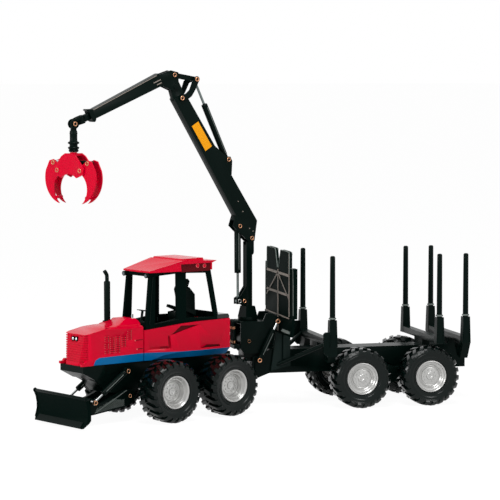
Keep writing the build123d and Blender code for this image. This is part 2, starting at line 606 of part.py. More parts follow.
def grip_ram(inner_end, outer_end, radius, y_pin):
    """Level cylinder half between the claws' upper pins."""
    made = rod((0, inner_end, GRIP_RAM_Z), (0, outer_end, GRIP_RAM_Z), radius)
    made += rod((-1.2, y_pin, GRIP_RAM_Z), (1.2, y_pin, GRIP_RAM_Z), 1.5)
    return made - rod((-5, y_pin, GRIP_RAM_Z), (5, y_pin, GRIP_RAM_Z), PIN_R + FIT)


add("hanger", hanger(), crane)
add("grapple_frame", grapple_frame(), grip)
add("claw_left", claw(1), grip)
add("claw_right", claw(-1), grip)
grip_barrel = grip_ram(-GRIP_MOUTH, GRIP_RAM_Y - 1, 1.6, GRIP_RAM_Y)
grip_barrel -= rod((0, -20, GRIP_RAM_Z), (0, GRIP_RAM_Y - 2.2, GRIP_RAM_Z), ROD_R + FIT)
add("grapple_barrel", grip_barrel, grip)
add("grapple_rod", grip_ram(GRIP_MOUTH + 0.6, -GRIP_RAM_Y + 1, ROD_R, -GRIP_RAM_Y), grip)

# ---------------------------------------------------------------- front unit
def front_chassis():
    tongue = block((0, 14), (-4.5, 4.5), HINGE_Z) + rod((0, 0, HINGE_Z[0]), (0, 0, HINGE_Z[1]), 5.0)
    tongue -= rod((0, 0, 10), (0, 0, 40), HINGE_PIN_R + FIT)
    beam = block((13, 88), (-8.0, 8.0), (21.0, BODY_BOTTOM))
    belly = plate_xz([(84, 21.0), (92, 17.5), (110, 19.0), (116, 25.4), (120.1, 27.6), (129.3, 32.5), (129.3, BODY_BOTTOM),
                      (84, BODY_BOTTOM)], (-BELLY_HALF, BELLY_HALF))
    nose = plate_xz([(113.5, 30.0), (120.1, 27.6), (129.3, 32.5), (129.3, BODY_BOTTOM), (113.5, BODY_BOTTOM)], (-11.8, 11.8))
    lugs = cross(BLADE_PIVOT, 2.6, (-BELLY_HALF, BELLY_HALF))
    lugs += both(lambda y: cross(BLADE_PIVOT, PIN_R, y), BELLY_HALF, BLADE_ARM_Y[1])
    lugs += both(lambda y: cross(BLADE_PIVOT, HEAD_R, y), BLADE_ARM_Y[1], BLADE_ARM_Y[1] + HEAD)
    lugs += both(lambda y: cross(DOZER_TOP, PIN_R, y), BELLY_HALF, DOZER_Y + DOZER_HALF)
    lugs += both(lambda y: cross(DOZER_TOP, HEAD_R, y), DOZER_Y + DOZER_HALF, DOZER_Y + DOZER_HALF + HEAD)
    notch = cross((FRONT_BOGIE_X, HUB_Z), 6.4 + axle_gap, (-20, 20))
    return tongue + beam + belly + nose + lugs - notch


def mirrored(half):
    """Closed outline of (x, y) from the points of its left half."""
    return half + [(x, -y) for x, y in reversed(half)]


LAMP_Z = 52.4
LAMP_R = 1.1
lamp_x = NOSE_X - 2.4


def headlamps():
    return Compound(children=[rod((lamp_x - 1.0, y, LAMP_Z), (lamp_x + 0.5, y, LAMP_Z), LAMP_R) for y in (1.6, -1.6)])


# hood: (x, z) along its top from the nose, and the hump before the windscreen as (x, z) and (y, z)
HOOD_TOP = ((126.6, 55.3), (107.5, 59.0), (85.0, 59.3))
HUMP_SIDE = ((102.0, 59.0), (93.7, 62.3), (86.0, 62.3), (84.9, 60.6), (84.9, 57.0), (102.0, 57.0))
HUMP_FRONT = ((-9.6, 57.0), (-9.6, 59.2), (-6.0, 62.3), (6.0, 62.3), (9.6, 59.2), (9.6, 57.0))
# (x at the rear edge, top, bottom) of the louvred panels, and their width
LOUVRES = ((109.9, 54.0, 50.2), (109.9, 49.4, 46.0), (109.9, 45.4, 42.9), (105.9, 53.0, 42.9), (101.8, 53.5, 42.9),
           (97.5, 52.8, 46.2), (93.2, 56.3, 50.2))
LOUVRE_WIDTH = 3.2
GRILLE_HALF = 10.6
GRILLE_Z = (38.8, 54.2)
GRILLE_PITCH = 1.4
# catch at each lower corner of the nose, as (x, z), between two distances from the middle
HOOK = ((122.0, BODY_BOTTOM), (130.3, BODY_BOTTOM), (130.3, 38.2), (128.2, 38.2), (127.0, 39.6), (122.0, 39.6))
HOOK_Y = (10.0, 11.9)
LAMP_POCKET = (4.2, 1.6)   # half its width and height


def hood_shell(inset):
    """The hood's outside, moved in from its nose and sides by inset."""
    plan = mirrored([(NOSE_X - inset, 6.0), (NOSE_X - 2.7 - inset, 9.6 - inset), (NOSE_X - 5.7 - inset, 11.3 - inset),
                     (HOOD_REAR + HOOD_GAP, HOOD_HALF - inset)])
    side = [(NOSE_X - inset, BODY_BOTTOM), (NOSE_X - 0.3 - inset, 38.0), (HOOD_TOP[0][0] - inset, HOOD_TOP[0][1]),
            *HOOD_TOP[1:], (HOOD_REAR + HOOD_GAP, HOOD_TOP[2][1]), (HOOD_REAR + HOOD_GAP, BODY_BOTTOM)]
    return plate_xz(side, (-20, 20)) & plate_xy(plan, (30, 70))


SKIRT_EDGE = ((121.1, 36.0), (121.1, 37.2), (120.0, 39.6), (117.2, 41.0), (HOOD_REAR, 41.5), (58.0, 40.6),
              (BODY_REAR - 1, 40.4), (BODY_REAR - 1, 36.0))


def hood():
    made = hood_shell(0)
    shoulders = plate_yz([(-13, 30), (-13, 56.4), (-11.2, 58.0), (-6, 59.4), (6, 59.4), (11.2, 58.0), (13, 56.4),
                          (13, 30)], (80, 140))
    made = (made & shoulders) + (plate_xz(HUMP_SIDE, (-20, 20)) & plate_yz(HUMP_FRONT, (80, 110)))
    deeper = hood_shell(GROOVE)
    z = GRILLE_Z[0]
    while z < GRILLE_Z[1]:
        made -= block((NOSE_X - 8, NOSE_X + 8), (-GRILLE_HALF, GRILLE_HALF), (z, z + GRILLE_PITCH / 2)) - deeper
        z += GRILLE_PITCH
    half, rise = LAMP_POCKET
    made -= block((NOSE_X - 8, NOSE_X + 8), (-half, half), (LAMP_Z - rise, LAMP_Z + rise)) - deeper
    deeper = hood_shell(LOUVRE)
    for x, top, low in LOUVRES:
        made -= block((x, x + LOUVRE_WIDTH), (-20, 20), (low, top)) - deeper
    made += both(lambda y: plate_xz(HOOK, y), *HOOK_Y)
    made -= headlamps()
    made -= rod((*EXHAUST, EXHAUST_SEAT), (*EXHAUST, 70), EXHAUST_FOOT_R + 0.1)
    return made - plate_xz(SKIRT_EDGE, (-30, 30))


def tub_plan(inset, rear, front_x, z):
    """Prism on the tub's plan, its walls moved in by inset."""
    return plate_xy(mirrored([(front_x, BODY_HALF_FRONT - inset), (BODY_KINK, BODY_HALF_REAR - inset),
                              (rear, BODY_HALF_REAR - inset)]), z)


# the skirt's floor plate fills the tub's bottom; the tub's own floor and its lining's lie on it
skirt_floor = 40.3
floor_z = skirt_floor + 1.2
inside_z = floor_z + LINING
# the tub's top edge falls towards the hood
TUB_TOP = ((HOOD_REAR, 55.2), (57.9, 57.6), (45.5, 58.3), (BODY_REAR - 1, BODY_TOP))
# pockets in the tub's sides, as (x, z)
STEP_POCKET = ((80.3, 44.6), (80.3, 43.4), (65.0, 42.8), (65.0, 44.6), (66.0, 50.9), (67.4, 50.9), (67.0, 44.6))
INTAKE_POCKET = ((58.0, 56.4), (44.8, 56.3), (61.4, 51.9), (64.8, 51.2))
HEEL_POCKET = ((43.4, 41.6), (38.7, 43.5), (28.5, 42.9), (28.1, 41.6))


def cab_lining():
    """Inner moulding of the cab: floor and a thin wall inside the tub."""
    side = plate_xz([*TUB_TOP, (BODY_REAR - 1, BODY_BOTTOM), (HOOD_REAR, BODY_BOTTOM)], (-20, 20))
    inset = WALL + LINING
    made = tub_plan(WALL, CAB_REAR + WALL, HOOD_REAR - WALL, (floor_z, 70)) & side
    return made - tub_plan(inset, CAB_REAR + inset, HOOD_REAR - inset, (inside_z, 70))


def cab_body():
    """Lower tub: floor and walls that carry the cab's frame."""
    side = plate_xz([*TUB_TOP, (BODY_REAR - 1, BODY_BOTTOM), (HOOD_REAR, BODY_BOTTOM)], (-20, 20))
    made = tub_plan(0, BODY_REAR, HOOD_REAR, (BODY_BOTTOM, 70)) & side
    made -= tub_plan(WALL, CAB_REAR + WALL, HOOD_REAR - WALL, (floor_z, 70))
    core = tub_plan(POCKET, BODY_REAR - 1, HOOD_REAR + 1, (30, 70))
    for outline in (STEP_POCKET, INTAKE_POCKET, HEEL_POCKET):
        made -= plate_xz(outline, (-30, 30)) - core
    return made - plate_xz(SKIRT_EDGE, (-30, 30)) - block((0, HOOD_REAR), (-30, 30), (30, skirt_floor))


CREASE = ((HOOD_REAR, 41.5), (HOOD_REAR, 36.0), (81.3, 36.0), (70.3, 38.9), (57.0, 40.5), (57.0, 41.5))


def skirt():
    """Blue band along both sides: a block under the hood, and the cab's floor pan with tucked lower edges."""
    band = plate_xz(SKIRT_EDGE, (-30, 30))
    nose = hood_shell(0) & band
    pan = tub_plan(0, BODY_REAR, HOOD_REAR, (BODY_BOTTOM, 50)) & band
    depth = skirt_floor - BODY_BOTTOM
    section = Plane(origin=(0, 0, skirt_floor)) * Polygon(
        *mirrored([(HOOD_REAR, BODY_HALF_FRONT), (BODY_KINK, BODY_HALF_REAR), (BODY_REAR, BODY_HALF_REAR)]), align=None)
    tucked = extrude(section, amount=depth, dir=(0, 0, -1), taper=degrees(atan2(SKIRT_TUCK, depth)))
    upright = pan & (plate_xz(CREASE, (-30, 30)) + block((0, HOOD_REAR), (-30, 30), (skirt_floor, 50)))
    pan = upright + (tucked & block((BODY_REAR, HOOD_REAR), (-30, 30), (30, skirt_floor)))
    pan -= block((0, HOOD_REAR), (-30, 30), (skirt_floor, 50)) & tub_plan(WALL, BODY_REAR + WALL, HOOD_REAR - WALL, (30, 70))
    return Compound(children=[*nose.solids(), *pan.solids()])


# windows and doorways of the cab, as (x, z)
DOORWAY = ((77.3, 58.4), (76.1, 59.4), (75.3, 87.7), (60.0, 88.6), (60.0, 60.9))
REAR_SIDE = ((31.9, SIDE_GLASS_Z[0]), (53.2, 60.9), (53.2, 88.6), (37.8, SIDE_GLASS_Z[1]))


def cab_frame():
    """Pillars and rails round the window openings, on the tub's top edge."""
    def walls(inset):
        low = Plane(origin=(0, 0, 54.0)) * Polygon(
            *mirrored([(83.0 - inset, 12.5 - inset), (27.9 + inset, 16.3 - inset)]), align=None)
        top = Plane(origin=(0, 0, ROOF_Z)) * Polygon(
            *mirrored([(79.3 - inset, 12.1 - inset), (35.0 + inset, 15.8 - inset)]), align=None)
        return loft([low, top])
    made = walls(0) - walls(1.7)
    rails = plate_xz([*TUB_TOP, (BODY_REAR - 1, ROOF_Z), (HOOD_REAR, ROOF_Z)], (-30, 30))
    made &= rails
    for outline in (DOORWAY, REAR_SIDE):
        made -= plate_xz(outline, (-30, 30))
    made -= plate_yz([(-10.4, 58.6), (10.4, 58.6), (10.2, 87.6), (-10.2, 87.6)], (60, 100))
    made -= plate_yz([(-12.6, 63.0), (12.6, 63.0), (12.3, 87.6), (-12.3, 87.6)], (20, 50))
    made -= block((BODY_REAR, CAB_REAR), (-30, 30), (50, DECK_Z[1]))
    return made


# roof: (x, z) round its side, and its (x, half width) from the front
ROOF_SIDE = ((80.6, ROOF_Z), (80.4, 91.0), (56.7, 96.6), (31.2, 95.6), (30.2, 92.0), (34.0, ROOF_Z))
ROOF_PLAN = ((80.9, 13.3), (56.7, 16.9), (29.0, ROOF_HALF))
FASCIA = ((58.9, 94.5), (35.6, 94.2), (35.3, ROOF_Z - 1), (58.4, ROOF_Z - 1))
VENTS = ((45.7, 92.9), (40.3, 92.6))


def cab_roof():
    """Roof with a visor, a recessed band under its eaves and a raised panel."""
    made = plate_xz(ROOF_SIDE, (-20, 20)) & plate_xy(mirrored(list(ROOF_PLAN)), (80, 110))
    core = plate_xy(mirrored([(x, half - POCKET) for x, half in ROOF_PLAN]), (80, 110))
    made -= plate_xz(FASCIA, (-30, 30)) - core
    made += both(lambda y: cross(VENTS[0], 1.1, y), 14.6, 16.5) + both(lambda y: cross(VENTS[1], 1.1, y), 14.6, 16.6)
    panel = plate_xz([(57.2, 95.5), (56.4, 97.4), (39.9, 97.5), (39.0, 95.5)], (-14.2, 14.2))
    return made + panel


add("front_chassis", front_chassis(), front)
add("hood", hood(), front)
add("skirt", skirt(), front)
add("cab_body", cab_body(), front)
add("cab_lining", cab_lining(), front)
add("cab_frame", cab_frame(), front)
add("cab_roof", cab_roof(), front)


def seat():
    """Seat on its plinth, with a headrest and two armrests."""
    made = block((41, 50), (-4, 4), (inside_z, 56)) + block((39, 52), (-5.4, 5.4), (56, 61))
    back = plate_xz([(38.3, 60.0), (52.9, 60.0), (52.9, 63.4), (45.2, 64.2), (48.0, 76.9), (47.4, 78.6), (43.0, 78.6),
                     (38.6, 73.9)], (-5.4, 5.4))
    head = plate_xz([(42.6, 78.0), (47.2, 78.0), (48.0, 82.2), (47.0, 83.4), (42.4, 83.6), (41.0, 82.0)], (-3.0, 3.0))
    arms = both(lambda y: plate_xz([(40.0, 61.0), (52.0, 66.0), (51.4, 67.6), (39.6, 64.0)], y), 5.4, 8.6)
    return made + back + head + arms


def dash_console():
    """Console behind the windscreen with its steering wheel on a sloping column."""
    made = plate_xz([(80.4, inside_z), (73.5, inside_z), (75.0, 57.0), (79.2, 60.2), (80.4, 59.0)], (-8.4, 8.4))
    foot, top = (77.2, 57.6), (75.9, 66.2)
    made += rod((foot[0], 0, foot[1]), (top[0], 0, top[1]), 0.8)
    under = along(top, foot, 0.5)
    ring = rod((under[0], 0, under[1]), (top[0], 0, top[1]), 3.5)
    ring -= rod((foot[0], 0, foot[1]), (along(foot, top, 12.0)[0], 0, along(foot, top, 12.0)[1]), 2.7)
    made += ring + rod((top[0], -3.0, top[1] - 0.3), (top[0], 3.0, top[1] - 0.3), 0.4)
    return made


add("seat", seat(), front)
add("dash_console", dash_console(), front)
pipe = rod((*EXHAUST, EXHAUST_SEAT), (*EXHAUST, 60.4), EXHAUST_FOOT_R) + rod((*EXHAUST, 60.0), (*EXHAUST, 84.7), 1.9)
pipe += rod((*EXHAUST, 84.0), (*EXHAUST, 89.0), 1.2)
pipe += rod((*EXHAUST, 88.6), (EXHAUST[0] + 1.6, EXHAUST[1], 91.0), 1.2)
add("exhaust", pipe, front)

# ---------------------------------------------------------------- blade
# blade's section as (distance ahead of BLADE_BACK, z); its middle is thinner than its end plates
BLADE_FACE = ((4.4, 19.6), (2.8, 16.0), (2.0, 12.0), (2.0, 8.6), (3.0, 5.0), (5.4, 1.7))
BLADE_REAR = ((4.0, 1.7), (1.4, 4.8), (0, 6.4), (0, 12.0), (0.8, 16.0), (2.4, 19.6))
BEAD_R = 0.8


def blade():
    """Curved plate with a bead along its top, end plates, and cut lower corners."""
    section = [(BLADE_BACK + ahead, z) for ahead, z in BLADE_FACE + BLADE_REAR]
    made = plate_xz(section, (-BLADE_HALF, BLADE_HALF))
    made += cross((BLADE_BACK + 3.6, 19.6), BEAD_R, (-BLADE_HALF, BLADE_HALF))
    ends = [(BLADE_BACK + ahead + 0.5, z) for ahead, z in BLADE_FACE] + [(BLADE_BACK + ahead, z) for ahead, z in BLADE_REAR]
    made += both(lambda y: plate_xz(ends, y), BLADE_HALF - 0.9, BLADE_HALF)
    for sign in (1, -1):
        corner = [(sign * (BLADE_HALF - 2.6), 1.0), (sign * (BLADE_HALF + 1), 1.0), (sign * (BLADE_HALF + 1), 6.3)]
        made -= plate_yz(corner, (BLADE_BACK - 5, BLADE_BACK + 10))
    return made


def blade_frame():
    """Two push arms with a step plate between them; the cylinders' lugs stand on the arms."""
    inner, outer = BLADE_ARM_Y
    arm = [(90.5, 12.5), (90.5, 19.0), (96.9, 20.2), (117.0, 13.2), (BLADE_BACK, 11.0), (BLADE_BACK, 6.4),
           (121.4, 6.7), (97.0, 9.6)]
    arms = both(lambda y: plate_xz(arm, y), inner, outer)
    arms += both(lambda y: bar(DOZER_LOW, (DOZER_LOW[0], 9.0), 2.2, y), inner, outer)
    arms += block((101, BLADE_BACK), (-inner, inner), (8.6, 10.0))
    arms += both(lambda y: cross(DOZER_LOW, PIN_R, y), outer, DOZER_Y + DOZER_HALF)
    arms += both(lambda y: cross(DOZER_LOW, HEAD_R, y), DOZER_Y + DOZER_HALF, DOZER_Y + DOZER_HALF + HEAD)
    return arms - cross(BLADE_PIVOT, PIN_R + FIT, (-30, 30))


dozer_sides = ((DOZER_Y, DOZER_Y), (-DOZER_Y, -DOZER_Y))
add("blade", blade(), front)
add("blade_frame", blade_frame(), front)
add("blade_barrels", Compound(children=[cylinder(DOZER_TOP, DOZER_LOW, 21.5, 1.65, y, 1.1) for y in dozer_sides]), front)
add("blade_rods", Compound(children=[piston(DOZER_TOP, DOZER_LOW, 12.0, y, 1.0, True) for y in dozer_sides]), front)

# ---------------------------------------------------------------- small fittings of the front unit and the base
deck = plate_xz([(BODY_REAR + 0.2, TUB_TOP[3][1]), (CAB_REAR, TUB_TOP[3][1]), (CAB_REAR, DECK_Z[1]), (BODY_REAR + 1.2, DECK_Z[1]),
                 (BODY_REAR + 0.2, DECK_Z[1] - 1.2)], (-BODY_HALF_REAR + 0.4, BODY_HALF_REAR - 0.4))
add("rear_deck", deck, front)
add("headlamps", headlamps(), front)
add("roof_lamps", Compound(children=[
    rod((79.6, y, ROOF_Z - ROOF_LAMP_R), (81.8, y, ROOF_Z - ROOF_LAMP_R), ROOF_LAMP_R) for y in (-11.2, 11.2)]), front)
# hoses over the front edge of the crane base and down to a clamp across it
bundle = block((BASE_X[1], 4.4), (-BASE_HALF + 0.4, BASE_HALF - 0.4), (37.2, 39.6))
over = BASE_TOP - 1.0
for y in (-4.0, -1.3, 1.4, 4.0):
    bundle += rod((BASE_X[1], y, over), (HOSE_X, y, over), HOSE_R)
    bundle += rod((HOSE_X, y, over + 0.4), (HOSE_X, y, 39.0), HOSE_R)
add("hoses", bundle)

# ---------------------------------------------------------------- set the origin and write the files
boxes = [shape.bounding_box() for shape in nodes.values()]
low = [min(tuple(b.min)[axis] for b in boxes) for axis in range(3)]
high = [max(tuple(b.max)[axis] for b in boxes) for axis in range(3)]
shift = Vector(-(low[0] + high[0]) / 2, -(low[1] + high[1]) / 2, -low[2])
if __name__ == "__main__":
    os.makedirs("parts", exist_ok=True)
    for name, shape in nodes.items():
        export_step(shape.moved(Location(shift)), f"parts/{name}.step")
    print(len(nodes), "nodes; box", low, high)
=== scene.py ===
"""Toy forestry forwarder: its finishes and dressed pieces, the light and the camera.

Drawing sizes are millimetres in the frame of the unit that carries a piece: +X forward, +Y left,
+Z up, with the origin on the floor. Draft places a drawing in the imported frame, which is in metres.
"""
from __future__ import annotations

import json
import logging
import math
from dataclasses import dataclass, field
from enum import Enum
from typing import Callable, ClassVar, Iterable, Sequence

import bmesh
import bpy
from mathutils import Matrix, Vector

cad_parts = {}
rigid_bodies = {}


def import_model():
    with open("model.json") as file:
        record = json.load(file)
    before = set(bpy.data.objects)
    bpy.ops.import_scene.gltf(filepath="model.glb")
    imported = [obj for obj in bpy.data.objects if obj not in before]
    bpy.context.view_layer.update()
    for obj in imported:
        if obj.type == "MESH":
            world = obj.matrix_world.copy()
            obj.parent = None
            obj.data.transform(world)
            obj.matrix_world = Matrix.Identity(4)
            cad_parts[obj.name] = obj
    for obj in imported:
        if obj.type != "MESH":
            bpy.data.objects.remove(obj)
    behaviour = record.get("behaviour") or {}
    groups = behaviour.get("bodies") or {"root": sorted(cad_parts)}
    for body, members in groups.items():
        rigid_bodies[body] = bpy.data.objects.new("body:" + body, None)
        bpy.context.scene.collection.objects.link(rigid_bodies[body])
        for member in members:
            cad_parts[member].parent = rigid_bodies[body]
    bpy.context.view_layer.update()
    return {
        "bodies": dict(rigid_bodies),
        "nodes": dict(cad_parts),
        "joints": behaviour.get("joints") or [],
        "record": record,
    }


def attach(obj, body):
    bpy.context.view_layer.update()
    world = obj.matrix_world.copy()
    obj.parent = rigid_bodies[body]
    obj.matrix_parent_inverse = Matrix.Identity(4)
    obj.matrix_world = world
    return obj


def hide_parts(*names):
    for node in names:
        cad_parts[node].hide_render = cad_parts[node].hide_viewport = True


log = logging.getLogger("forwarder")

MM = 0.001
FULL_TURN = 2 * math.pi
SIDES = (1, -1)         # left and right of a unit's middle
# where the units stand: headings in degrees, distances in millimetres
STEER_REST = 25.1
SLEW_REST = 20.0
GRIP_HEADING = 35.0
SLEW_X = -6.3
TIP_REACH = 127.0
# how meshes are cleaned: an edge sharper than this stays sharp, faces flatter than that are joined
SHARP_ANGLE = math.radians(32)
FLAT_ANGLE = math.radians(0.5)
WELD_MM = 0.0005
CAD_WELD_M = 2e-6
# the clear coat of every finish that has one
COAT_ROUGHNESS = 0.08
COAT_IOR = 1.3
TINT_LUMP_MM = 14.0

Spot = tuple[float, float]
Outline = tuple[Spot, ...]
Triple = tuple[float, float, float]
BMesh = bmesh.types.BMesh


# ---------------------------------------------------------------- places
class Unit(Enum):
    """The frames that the drawings are made in."""

    REAR = "rear"
    FRONT = "front"
    CRANE = "crane"
    GRIP = "grip"


class Site:
    """Turns a unit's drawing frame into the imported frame."""

    def __init__(self, joints: Sequence[dict]) -> None:
        """Find the steering hinge, which is every frame's starting point.

        Args:
            joints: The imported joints, of which steer gives the hinge.
        """
        steer = next(joint for joint in joints if joint["name"] == "steer")
        x, y, _ = steer["pos_m"]
        home = Matrix.Translation((x, y, 0.0))
        slew = home @ Matrix.Translation((SLEW_X * MM, 0, 0)) @ Site.turn(SLEW_REST)
        self.places = {
            Unit.REAR: home,
            Unit.FRONT: home @ Site.turn(STEER_REST),
            Unit.CRANE: slew,
            Unit.GRIP: slew @ Matrix.Translation((TIP_REACH * MM, 0,
                                                  0)) @ Site.turn(GRIP_HEADING - SLEW_REST),
        }

    @staticmethod
    def turn(degrees: float) -> Matrix:
        """A turn to the left about the vertical."""
        return Matrix.Rotation(math.radians(degrees), 4, "Z")

    def matrix(self, unit: Unit) -> Matrix:
        """Drawing millimetres in a unit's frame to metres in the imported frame."""
        return self.places[unit] @ Matrix.Scale(MM, 4)


# ---------------------------------------------------------------- finishes
def srgb(red: int, green: int, blue: int) -> Triple:
    """Screen colour, 0 to 255, to the linear values that a shader takes."""
    return tuple(((c / 255 + 0.055) / 1.055) ** 2.4 if c > 10 else c / 255 / 12.92
                 for c in (red, green, blue))


def between(first: Sequence[float], second: Sequence[float], x: float) -> tuple[float, ...]:
    """The other coordinates, at some x, of a straight line through two points that start with x."""
    share = (x - first[0]) / (second[0] - first[0])
    return tuple(a + share * (b - a) for a, b in zip(first[1:], second[1:]))


def stand(name: str, data: bpy.types.ID) -> bpy.types.Object:
    """Put a mesh, a lamp or a camera in the scene as an object."""
    made = bpy.data.objects.new(name, data)
    bpy.context.scene.collection.objects.link(made)
    return made


class Wiring:
    """A node tree that is added to and linked."""

    def __init__(self, owner: bpy.types.Material | bpy.types.World) -> None:
        """Turn on the nodes of what the tree belongs to."""
        owner.use_nodes = True
        self.tree = owner.node_tree

    def add(self, kind: str, values: dict[str | int, object] | None = None) -> bpy.types.Node:
        """Add a shader node, its type given without ShaderNode, and set some of its inputs."""
        return self.fill(self.tree.nodes.new(f"ShaderNode{kind}"), values or {})

    @staticmethod
    def fill(node: bpy.types.Node, values: dict[str | int, object]) -> bpy.types.Node:
        """Set some of a node's inputs, and give it back."""
        for name, value in values.items():
            node.inputs[name].default_value = value
        return node

    def math(self, operation: str) -> bpy.types.Node:
        """Add a math node."""
        node = self.add("Math")
        node.operation = operation
        return node

    def seen(self) -> tuple[bpy.types.Node, bpy.types.NodeSocket]:
        """Light paths, and whether a ray comes from the camera or from gloss."""
        rays, seen = self.add("LightPath"), self.math("MAXIMUM")
        self.link((rays.outputs["Is Camera Ray"], seen.inputs[0]),
                  (rays.outputs["Is Glossy Ray"], seen.inputs[1]))
        return rays, seen.outputs[0]

    def link(self, *pairs: tuple[bpy.types.NodeSocket, bpy.types.NodeSocket]) -> None:
        """Link each output to its input."""
        for source, target in pairs:
            self.tree.links.new(source, target)


@dataclass(frozen=True)
class Finish:
    """A surface: its colour, gloss and the small unevenness that the real one shows."""

    name: str
    colour: Triple
    slot: str
    roughness: float = 0.35
    metallic: float = 0.0
    specular: float = 0.2
    coat: float = 0.0
    grain_mm: float = 0.6
    relief: float = 0.05
    drift: float = 0.06
    gloss_drift: float = 0.08

    def material(self) -> bpy.types.Material:
        """Build the material once, and give the same one afterwards."""
        made = bpy.data.materials.get(self.name)
        if made is None:
            made = bpy.data.materials.new(self.name)
            self.wire(Wiring(made))
        return made

    def wire(self, wiring: Wiring) -> None:
        """Colour, gloss and relief wander with noise read at the object's own coordinates.

        Args:
            wiring: The material's new tree.
        """
        shader = wiring.fill(wiring.tree.nodes["Principled BSDF"], {
            "Base Color": (*self.colour, 1.0), "Metallic": self.metallic, "Specular IOR Level": self.specular,
            "Coat Weight": self.coat, "Coat Roughness": COAT_ROUGHNESS, "Coat IOR": COAT_IOR})
        where = wiring.add("TexCoord").outputs["Object"]
        broad = self.noise(wiring, where, TINT_LUMP_MM, 3.0)
        tint = wiring.add("MixRGB", {"Color1": (*[c * (1 - self.drift) for c in self.colour], 1.0),
                                     "Color2": (*[min(1.0, c * (1 + self.drift)) for c in self.colour], 1.0)})
        fine = self.noise(wiring, where, self.grain_mm, 4.0)
        gloss = wiring.add("MapRange", {"To Min": max(0.02, self.roughness - self.gloss_drift),
                                        "To Max": min(1.0, self.roughness + self.gloss_drift)})
        bump = wiring.add("Bump", {"Strength": self.relief, "Distance": 0.1 * self.grain_mm * MM})
        wiring.link((broad, tint.inputs["Fac"]), (tint.outputs["Color"], shader.inputs["Base Color"]),
                    (broad, gloss.inputs["Value"]), (gloss.outputs["Result"], shader.inputs["Roughness"]),
                    (fine, bump.inputs["Height"]), (bump.outputs["Normal"], shader.inputs["Normal"]))

    @staticmethod
    def noise(wiring: Wiring, where: bpy.types.NodeSocket, size_mm: float,
              detail: float) -> bpy.types.NodeSocket:
        """Noise of some octaves, read at a place, whose lumps are about size_mm across."""
        node = wiring.add("TexNoise", {"Scale": 1.0 / (size_mm * MM), "Detail": detail})
        wiring.link((where, node.inputs["Vector"]))
        return node.outputs["Fac"]


BLACK = Finish("black_enamel", srgb(3, 15, 12), "black_paint", 0.32, specular=0.05)
MATT_BLACK = Finish("matt_black_enamel", srgb(3, 15, 12), "black_paint", 0.62, specular=0.015,
                    gloss_drift=0.04)
GUSSET = Finish("grey_black_enamel", srgb(24, 34, 32), "black_paint", 0.5, specular=0.04)
# painted highlight: a pale black that stands in for light caught by edges, rims, tread studs, stake rings and
# glint lines
HIGHLIGHT_BLACK = Finish("painted_highlight_black", srgb(104, 112, 108), "black_paint", 0.5, specular=0.05)
BLACK_PLASTIC = Finish("moulded_black", srgb(4, 16, 13), "black_plastic", 0.36, specular=0.05, relief=0.09)
RED = Finish("red_enamel", srgb(208, 0, 42), "red_paint", 0.22, specular=0.06, coat=0.14, drift=0.03)
# painted shade: a darker red for the step groove
DEEP_RED = Finish("shaded_red_enamel", srgb(150, 8, 30), "red_paint", 0.45, specular=0.06, drift=0.05)
# painted shade in the pockets, the louvre floors and the band under the eaves, and the dark colour of the
# side seams
SHADE_AND_SEAM_RED = Finish("painted_shade_and_seam_red", srgb(88, 16, 22), "red_paint", 0.5, specular=0.05, drift=0.08)
# painted highlight: a pale red for the louvre ends, the side catches and the roof vents
HIGHLIGHT_RED = Finish("painted_highlight_red", srgb(226, 104, 104), "red_paint", 0.4, specular=0.1)
BLUE = Finish("blue_enamel", srgb(0, 100, 158), "blue_paint", 0.26, specular=0.06, coat=0.2, drift=0.03)
SILVER = Finish("silvered_rim", srgb(184, 184, 182), "silver_plastic", 0.28, metallic=0.6, specular=0.3)
RUBBER = Finish("tyre_rubber", srgb(4, 14, 12), "tyre", 0.2, specular=0.18, relief=0.12)
STEEL = Finish("bright_steel", srgb(112, 122, 120), "steel", 0.25, metallic=0.9, specular=0.3)
BRIGHT = Finish("ram_chrome", srgb(206, 210, 210), "steel", 0.16, metallic=1.0)
SMOKED = Finish("lamp_glass", srgb(92, 104, 108), "", 0.12, specular=0.4)
DECK = Finish("polished_black", srgb(6, 15, 12), "black_plastic", 0.14, specular=0.4)
CHROME = Finish("lamp_chrome", srgb(224, 226, 228), "lamp", 0.14, metallic=1.0)
COPPER = Finish("copper_rivet", srgb(190, 138, 104), "", 0.3, metallic=0.85, grain_mm=0.3)
YELLOW = Finish("yellow_plate", srgb(236, 156, 16), "", 0.45, specular=0.12)
# grey of the headboard's lines and the boom's studs, and painted highlight along the jib's rib and dashes
GREY_LINE_AND_HIGHLIGHT = Finish("grey_paint_and_painted_highlight", srgb(132, 124, 116), "", 0.5, specular=0.08)


# ---------------------------------------------------------------- drawing
class Sheet(Enum):
    """The plane that an outline lies in; it is thick along the remaining axis."""

    SIDE = "side"      # (x, z), thick along Y
    FRONT = "front"    # (y, z), thick along X
    TOP = "top"        # (x, y), thick along Z

    def point(self, first: float, second: float, depth: float) -> Vector:
        """Two outline coordinates and a depth as a point."""
        order = {Sheet.SIDE: (first, depth, second), Sheet.FRONT: (depth, first, second),
                 Sheet.TOP: (first, second, depth)}
        return Vector(order[self])


def verts_of(parts: Iterable[object]) -> list[bmesh.types.BMVert]:
    """The vertices among an operator's results."""
    return [part for part in parts if isinstance(part, bmesh.types.BMVert)]


def strip(start: Spot, end: Spot, width: float) -> list[Spot]:
    """The outline of a straight strip.

    Args:
        start: The middle of one end.
        end: The middle of the other.
        width: Its width.

    Returns:
        Its corners.
    """
    along = Vector((end[0] - start[0], end[1] - start[1])).normalized()
    side = Vector((-along.y, along.x)) * width / 2
    return [(p[0] + s * side.x, p[1] + s * side.y) for p, s in ((start, 1), (end, 1), (end, -1), (start, -1))]


def arc(centre: Spot, radius: float, degrees: Iterable[int]) -> list[Spot]:
    """Points round a centre, at angles from the first axis towards the second."""
    return [(centre[0] + radius * math.cos(math.radians(a)), centre[1] + radius * math.sin(math.radians(a)))
            for a in degrees]


